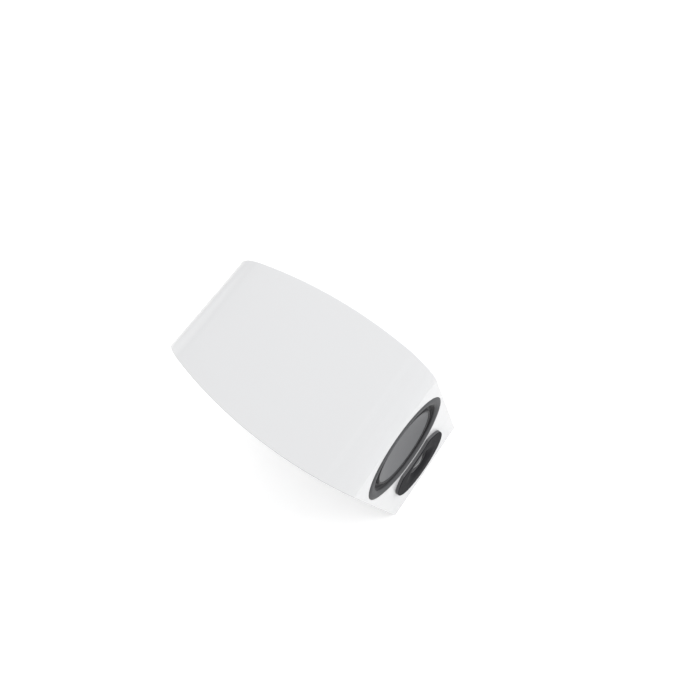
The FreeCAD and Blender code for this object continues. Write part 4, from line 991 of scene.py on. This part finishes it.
def gloss_plastic(name, dark, light):
    m = Nodes(name, dark, 0.2, 0.0, {"Coat Weight": 0.2, "Coat Roughness": 0.1})
    place = m.place()
    m.colour(m.noise(place, 250.0), dark, light)
    m.rough(m.noise(place, 700.0), 0.18, 0.3)
    return m.bump((m.noise(place, 3000.0), 0.000008))


def red_plastic():
    return gloss_plastic("red_plastic", (0.5, 0.012, 0.012), (0.6, 0.02, 0.018))


def black_plastic():
    return gloss_plastic("black_plastic", (0.015, 0.015, 0.016), (0.024, 0.024, 0.026))


def clear_plastic():
    m = Nodes("clear_plastic", (0.93, 0.95, 0.96), 0.05, 0.0, {"Transmission Weight": 1.0, "IOR": 1.49})
    place = m.place()
    m.rough(m.noise(place, 500.0), 0.02, 0.09)
    return m.bump((m.noise(place, 900.0), 0.000008))


def brace_wood():
    m = Nodes("brace_wood", (0.42, 0.29, 0.17), 0.75)
    place = m.place(stretch=(1.0, 1.0, 0.4))
    fibres = m.noise(place, 900.0, 8.0, 0.7)
    m.colour(fibres, (0.3, 0.2, 0.11), (0.55, 0.4, 0.25))
    m.rough(m.noise(place, 200.0), 0.65, 0.85)
    return m.bump((fibres, 0.00008))


def wadding():
    m = Nodes("wadding", (0.72, 0.71, 0.68), 0.95, 0.0, {"Sheen Weight": 0.5})
    place = m.place()
    fibres = m.noise(place, 260.0, 10.0, 0.8)
    m.colour(fibres, (0.55, 0.54, 0.51), (0.82, 0.81, 0.78))
    return m.bump((m.noise(place, 70.0), 0.002), (fibres, 0.0006))


def spider_cloth():
    m = Nodes("spider_cloth", (0.5, 0.33, 0.12), 0.7, 0.0, {"Sheen Weight": 0.2})
    place = m.place(about(WOOFER, FRONT))
    threads = m.weave(place, 0.0009)
    m.colour(threads, (0.36, 0.22, 0.07), (0.58, 0.4, 0.16))
    return m.bump((threads, 0.0001))


def coil_copper():
    m = Nodes("coil_copper", (0.7, 0.3, 0.13), 0.28, 1.0)
    place = m.place(about(WOOFER, FRONT))
    split = m.add("ShaderNodeSeparateXYZ")
    m.link(place, split.inputs[0])
    turns = m.math("MULTIPLY", m.wave(split.outputs["Y"], 0.0006), m.wave(split.outputs["Z"], 0.0011))
    m.colour(m.noise(place, 200.0), (0.6, 0.24, 0.1), (0.78, 0.38, 0.18))
    m.rough(m.noise(place, 400.0), 0.22, 0.36)
    return m.bump((turns, 0.0002))


def basket_metal():
    m = Nodes("basket_metal", (0.06, 0.06, 0.064), 0.5, 0.6)
    place = m.place(about(WOOFER, FRONT))
    grain = m.noise(place, 900.0, 6.0, 0.65)
    m.colour(grain, (0.045, 0.045, 0.048), (0.08, 0.08, 0.085))
    m.rough(m.noise(place, 120.0), 0.42, 0.6)
    return m.bump((grain, 0.00006))


def gasket_foam():
    m = Nodes("gasket_foam", (0.03, 0.03, 0.03), 0.9)
    place = m.place()
    pores = m.cells(place, 1800.0)
    m.colour(pores, (0.012, 0.012, 0.012), (0.05, 0.05, 0.05))
    return m.bump((pores, 0.0002))


def steel(name, dark, light, low, high):
    m = Nodes(name, dark, low, 1.0)
    place = m.place(stretch=(1.0, 0.15, 1.0))
    m.colour(m.noise(place, 150.0), dark, light)
    m.rough(m.noise(place, 700.0), low, high)
    return m.bump((m.noise(place, 2500.0), 0.00001))


def plated_steel():
    return steel("plated_steel", (0.5, 0.5, 0.49), (0.64, 0.63, 0.6), 0.26, 0.42)


def black_steel():
    return steel("black_steel", (0.03, 0.03, 0.032), (0.05, 0.05, 0.054), 0.3, 0.45)


def ferrite():
    m = Nodes("ferrite", (0.06, 0.06, 0.063), 0.62)
    place = m.place(about(WOOFER, FRONT))
    grain = m.noise(place, 1400.0, 5.0, 0.7)
    m.colour(grain, (0.045, 0.045, 0.048), (0.085, 0.084, 0.086))
    m.rough(m.noise(place, 90.0), 0.5, 0.75)
    return m.bump((grain, 0.00004))


def tag_board():
    m = Nodes("tag_board", (0.03, 0.14, 0.06), 0.35)
    place = m.place()
    threads = m.weave(place, 0.0016)
    m.colour(threads, (0.02, 0.11, 0.045), (0.04, 0.17, 0.075))
    m.rough(m.noise(place, 300.0), 0.3, 0.45)
    return m.bump((threads, 0.00002))


def capacitor_film():
    m = Nodes("capacitor_film", (0.6, 0.45, 0.1), 0.3, 0.0, {"Coat Weight": 0.2})
    place = m.place(stretch=(0.2, 1.0, 1.0))
    m.colour(m.noise(place, 260.0, 5.0), (0.52, 0.38, 0.07), (0.68, 0.52, 0.14))
    m.rough(m.noise(place, 500.0), 0.25, 0.4)
    return m.bump((m.noise(place, 800.0), 0.00003))


def wire_jacket():
    m = Nodes("wire_jacket", (0.4, 0.03, 0.025), 0.45)
    place = m.place()
    m.colour(m.noise(place, 120.0), (0.34, 0.022, 0.02), (0.46, 0.04, 0.03))
    m.rough(m.noise(place, 600.0), 0.38, 0.55)
    return m.bump((m.noise(place, 2200.0), 0.00002))


FINISHES = (white_lacquer, trim_grey, surround_rubber, cone_grey, tweeter_plate_black, dome_cloth,
            port_plastic, terminal_black, gold, red_plastic, black_plastic, clear_plastic, brace_wood,
            wadding, spider_cloth, coil_copper, basket_metal, gasket_foam, plated_steel, black_steel,
            ferrite, tag_board, capacitor_film, wire_jacket)
made_finishes = {}


def finish(slot):
    """The material of a slot, made on first use."""
    if slot not in made_finishes:
        build = next(maker for maker in FINISHES if maker.__name__ == slot)
        made_finishes[slot] = build()
    return made_finishes[slot]


def dress_nodes():
    """Give every CAD node the detailed finish of its slot."""
    for part in frame["record"]["subparts"]:
        mesh = frame["nodes"][part["node"]].data
        mesh.materials.clear()
        mesh.materials.append(finish(part["material_slot"]))


# ---------------------------------------------------------------- studio

def make_floor():
    """A plain pale floor, lit a little by itself so that it stays white beside the cabinet."""
    size = 6000.0
    corners = [(-size, -size, 0.0), (size, -size, 0.0), (size, size, 0.0), (-size, size, 0.0)]
    floor = mesh_object("floor", corners, [(0, 1, 2, 3)])
    m = Nodes("floor_white", (0.95, 0.95, 0.95), 0.9, 0.0,
              {"Emission Color": WHITE, "Emission Strength": 0.12})
    m.colour(m.noise(m.place(), 0.8), (0.945, 0.945, 0.945), (0.955, 0.955, 0.955))
    floor.data.materials.append(m.material)


def area_light(name, place, target, size, power):
    lamp = bpy.data.lights.new(name, "AREA")
    lamp.shape = "DISK"
    lamp.size = size
    lamp.energy = power
    obj = bpy.data.objects.new(name, lamp)
    bpy.context.scene.collection.objects.link(obj)
    obj.location = place
    obj.rotation_mode = "QUATERNION"
    obj.rotation_quaternion = (Vector(target) - Vector(place)).to_track_quat("-Z", "Y")


def make_surroundings():
    """White walls all round, a little brighter towards the key light."""
    world = bpy.data.worlds.new("studio")
    world.use_nodes = True
    tree = world.node_tree
    background = tree.nodes["Background"]
    background.inputs["Color"].default_value = WHITE
    towards = tree.nodes.new("ShaderNodeVectorMath")
    towards.operation = "DOT_PRODUCT"
    towards.inputs[1].default_value = Vector((0.75, -0.35, 0.55)).normalized()
    tree.links.new(tree.nodes.new("ShaderNodeTexCoord").outputs["Generated"], towards.inputs[0])
    strength = tree.nodes.new("ShaderNodeMapRange")
    for socket, value in (("From Min", -1.0), ("From Max", 1.0), ("To Min", 0.42), ("To Max", 1.05)):
        strength.inputs[socket].default_value = value
    tree.links.new(towards.outputs["Value"], strength.inputs["Value"])
    tree.links.new(strength.outputs["Result"], background.inputs["Strength"])
    bpy.context.scene.world = world


def make_lights():
    make_surroundings()
    middle = (0.0, 0.0, 0.15)
    area_light("key", (1.7, -1.5, 1.5), middle, 1.8, 31.0)
    area_light("overhead", (0.2, 0.2, 2.4), middle, 2.2, 12.0)
    area_light("rear", (-0.5, 2.4, 1.0), middle, 1.8, 16.0)


def make_camera():
    """The photo's viewpoint, found by fitting the cabinet's corners to its outline in the photo."""
    place = (-0.0378, -0.2929, 0.9575)
    forward = Vector((0.2761, 0.2851, -0.9179)).normalized()
    sideways = Vector((0.5679, -0.8189, -0.0835))
    right = (sideways - forward * sideways.dot(forward)).normalized()
    up = right.cross(forward)
    camera = bpy.data.cameras.new("camera")
    camera.sensor_width = 36.0
    camera.lens = 33.88
    camera.shift_x = -0.1361
    camera.shift_y = -0.0928
    obj = bpy.data.objects.new("camera", camera)
    bpy.context.scene.collection.objects.link(obj)
    turn = Matrix((right, up, -forward)).transposed().to_4x4()
    obj.matrix_world = Matrix.Translation(place) @ turn
    bpy.context.scene.camera = obj
    bpy.context.scene.view_settings.view_transform = "Standard"


dress_nodes()
make_cabinet()
make_trim_ring()
make_woofer_surround()
make_cone()
make_spider()
make_faceplate()
make_tweeter_flange()
make_dome()
make_tweeter_surround()
make_port()
make_terminal_plate()
for post_colour, post_axis in POSTS.items():
    make_post(post_colour, post_axis)
make_floor()
make_lights()
make_camera()
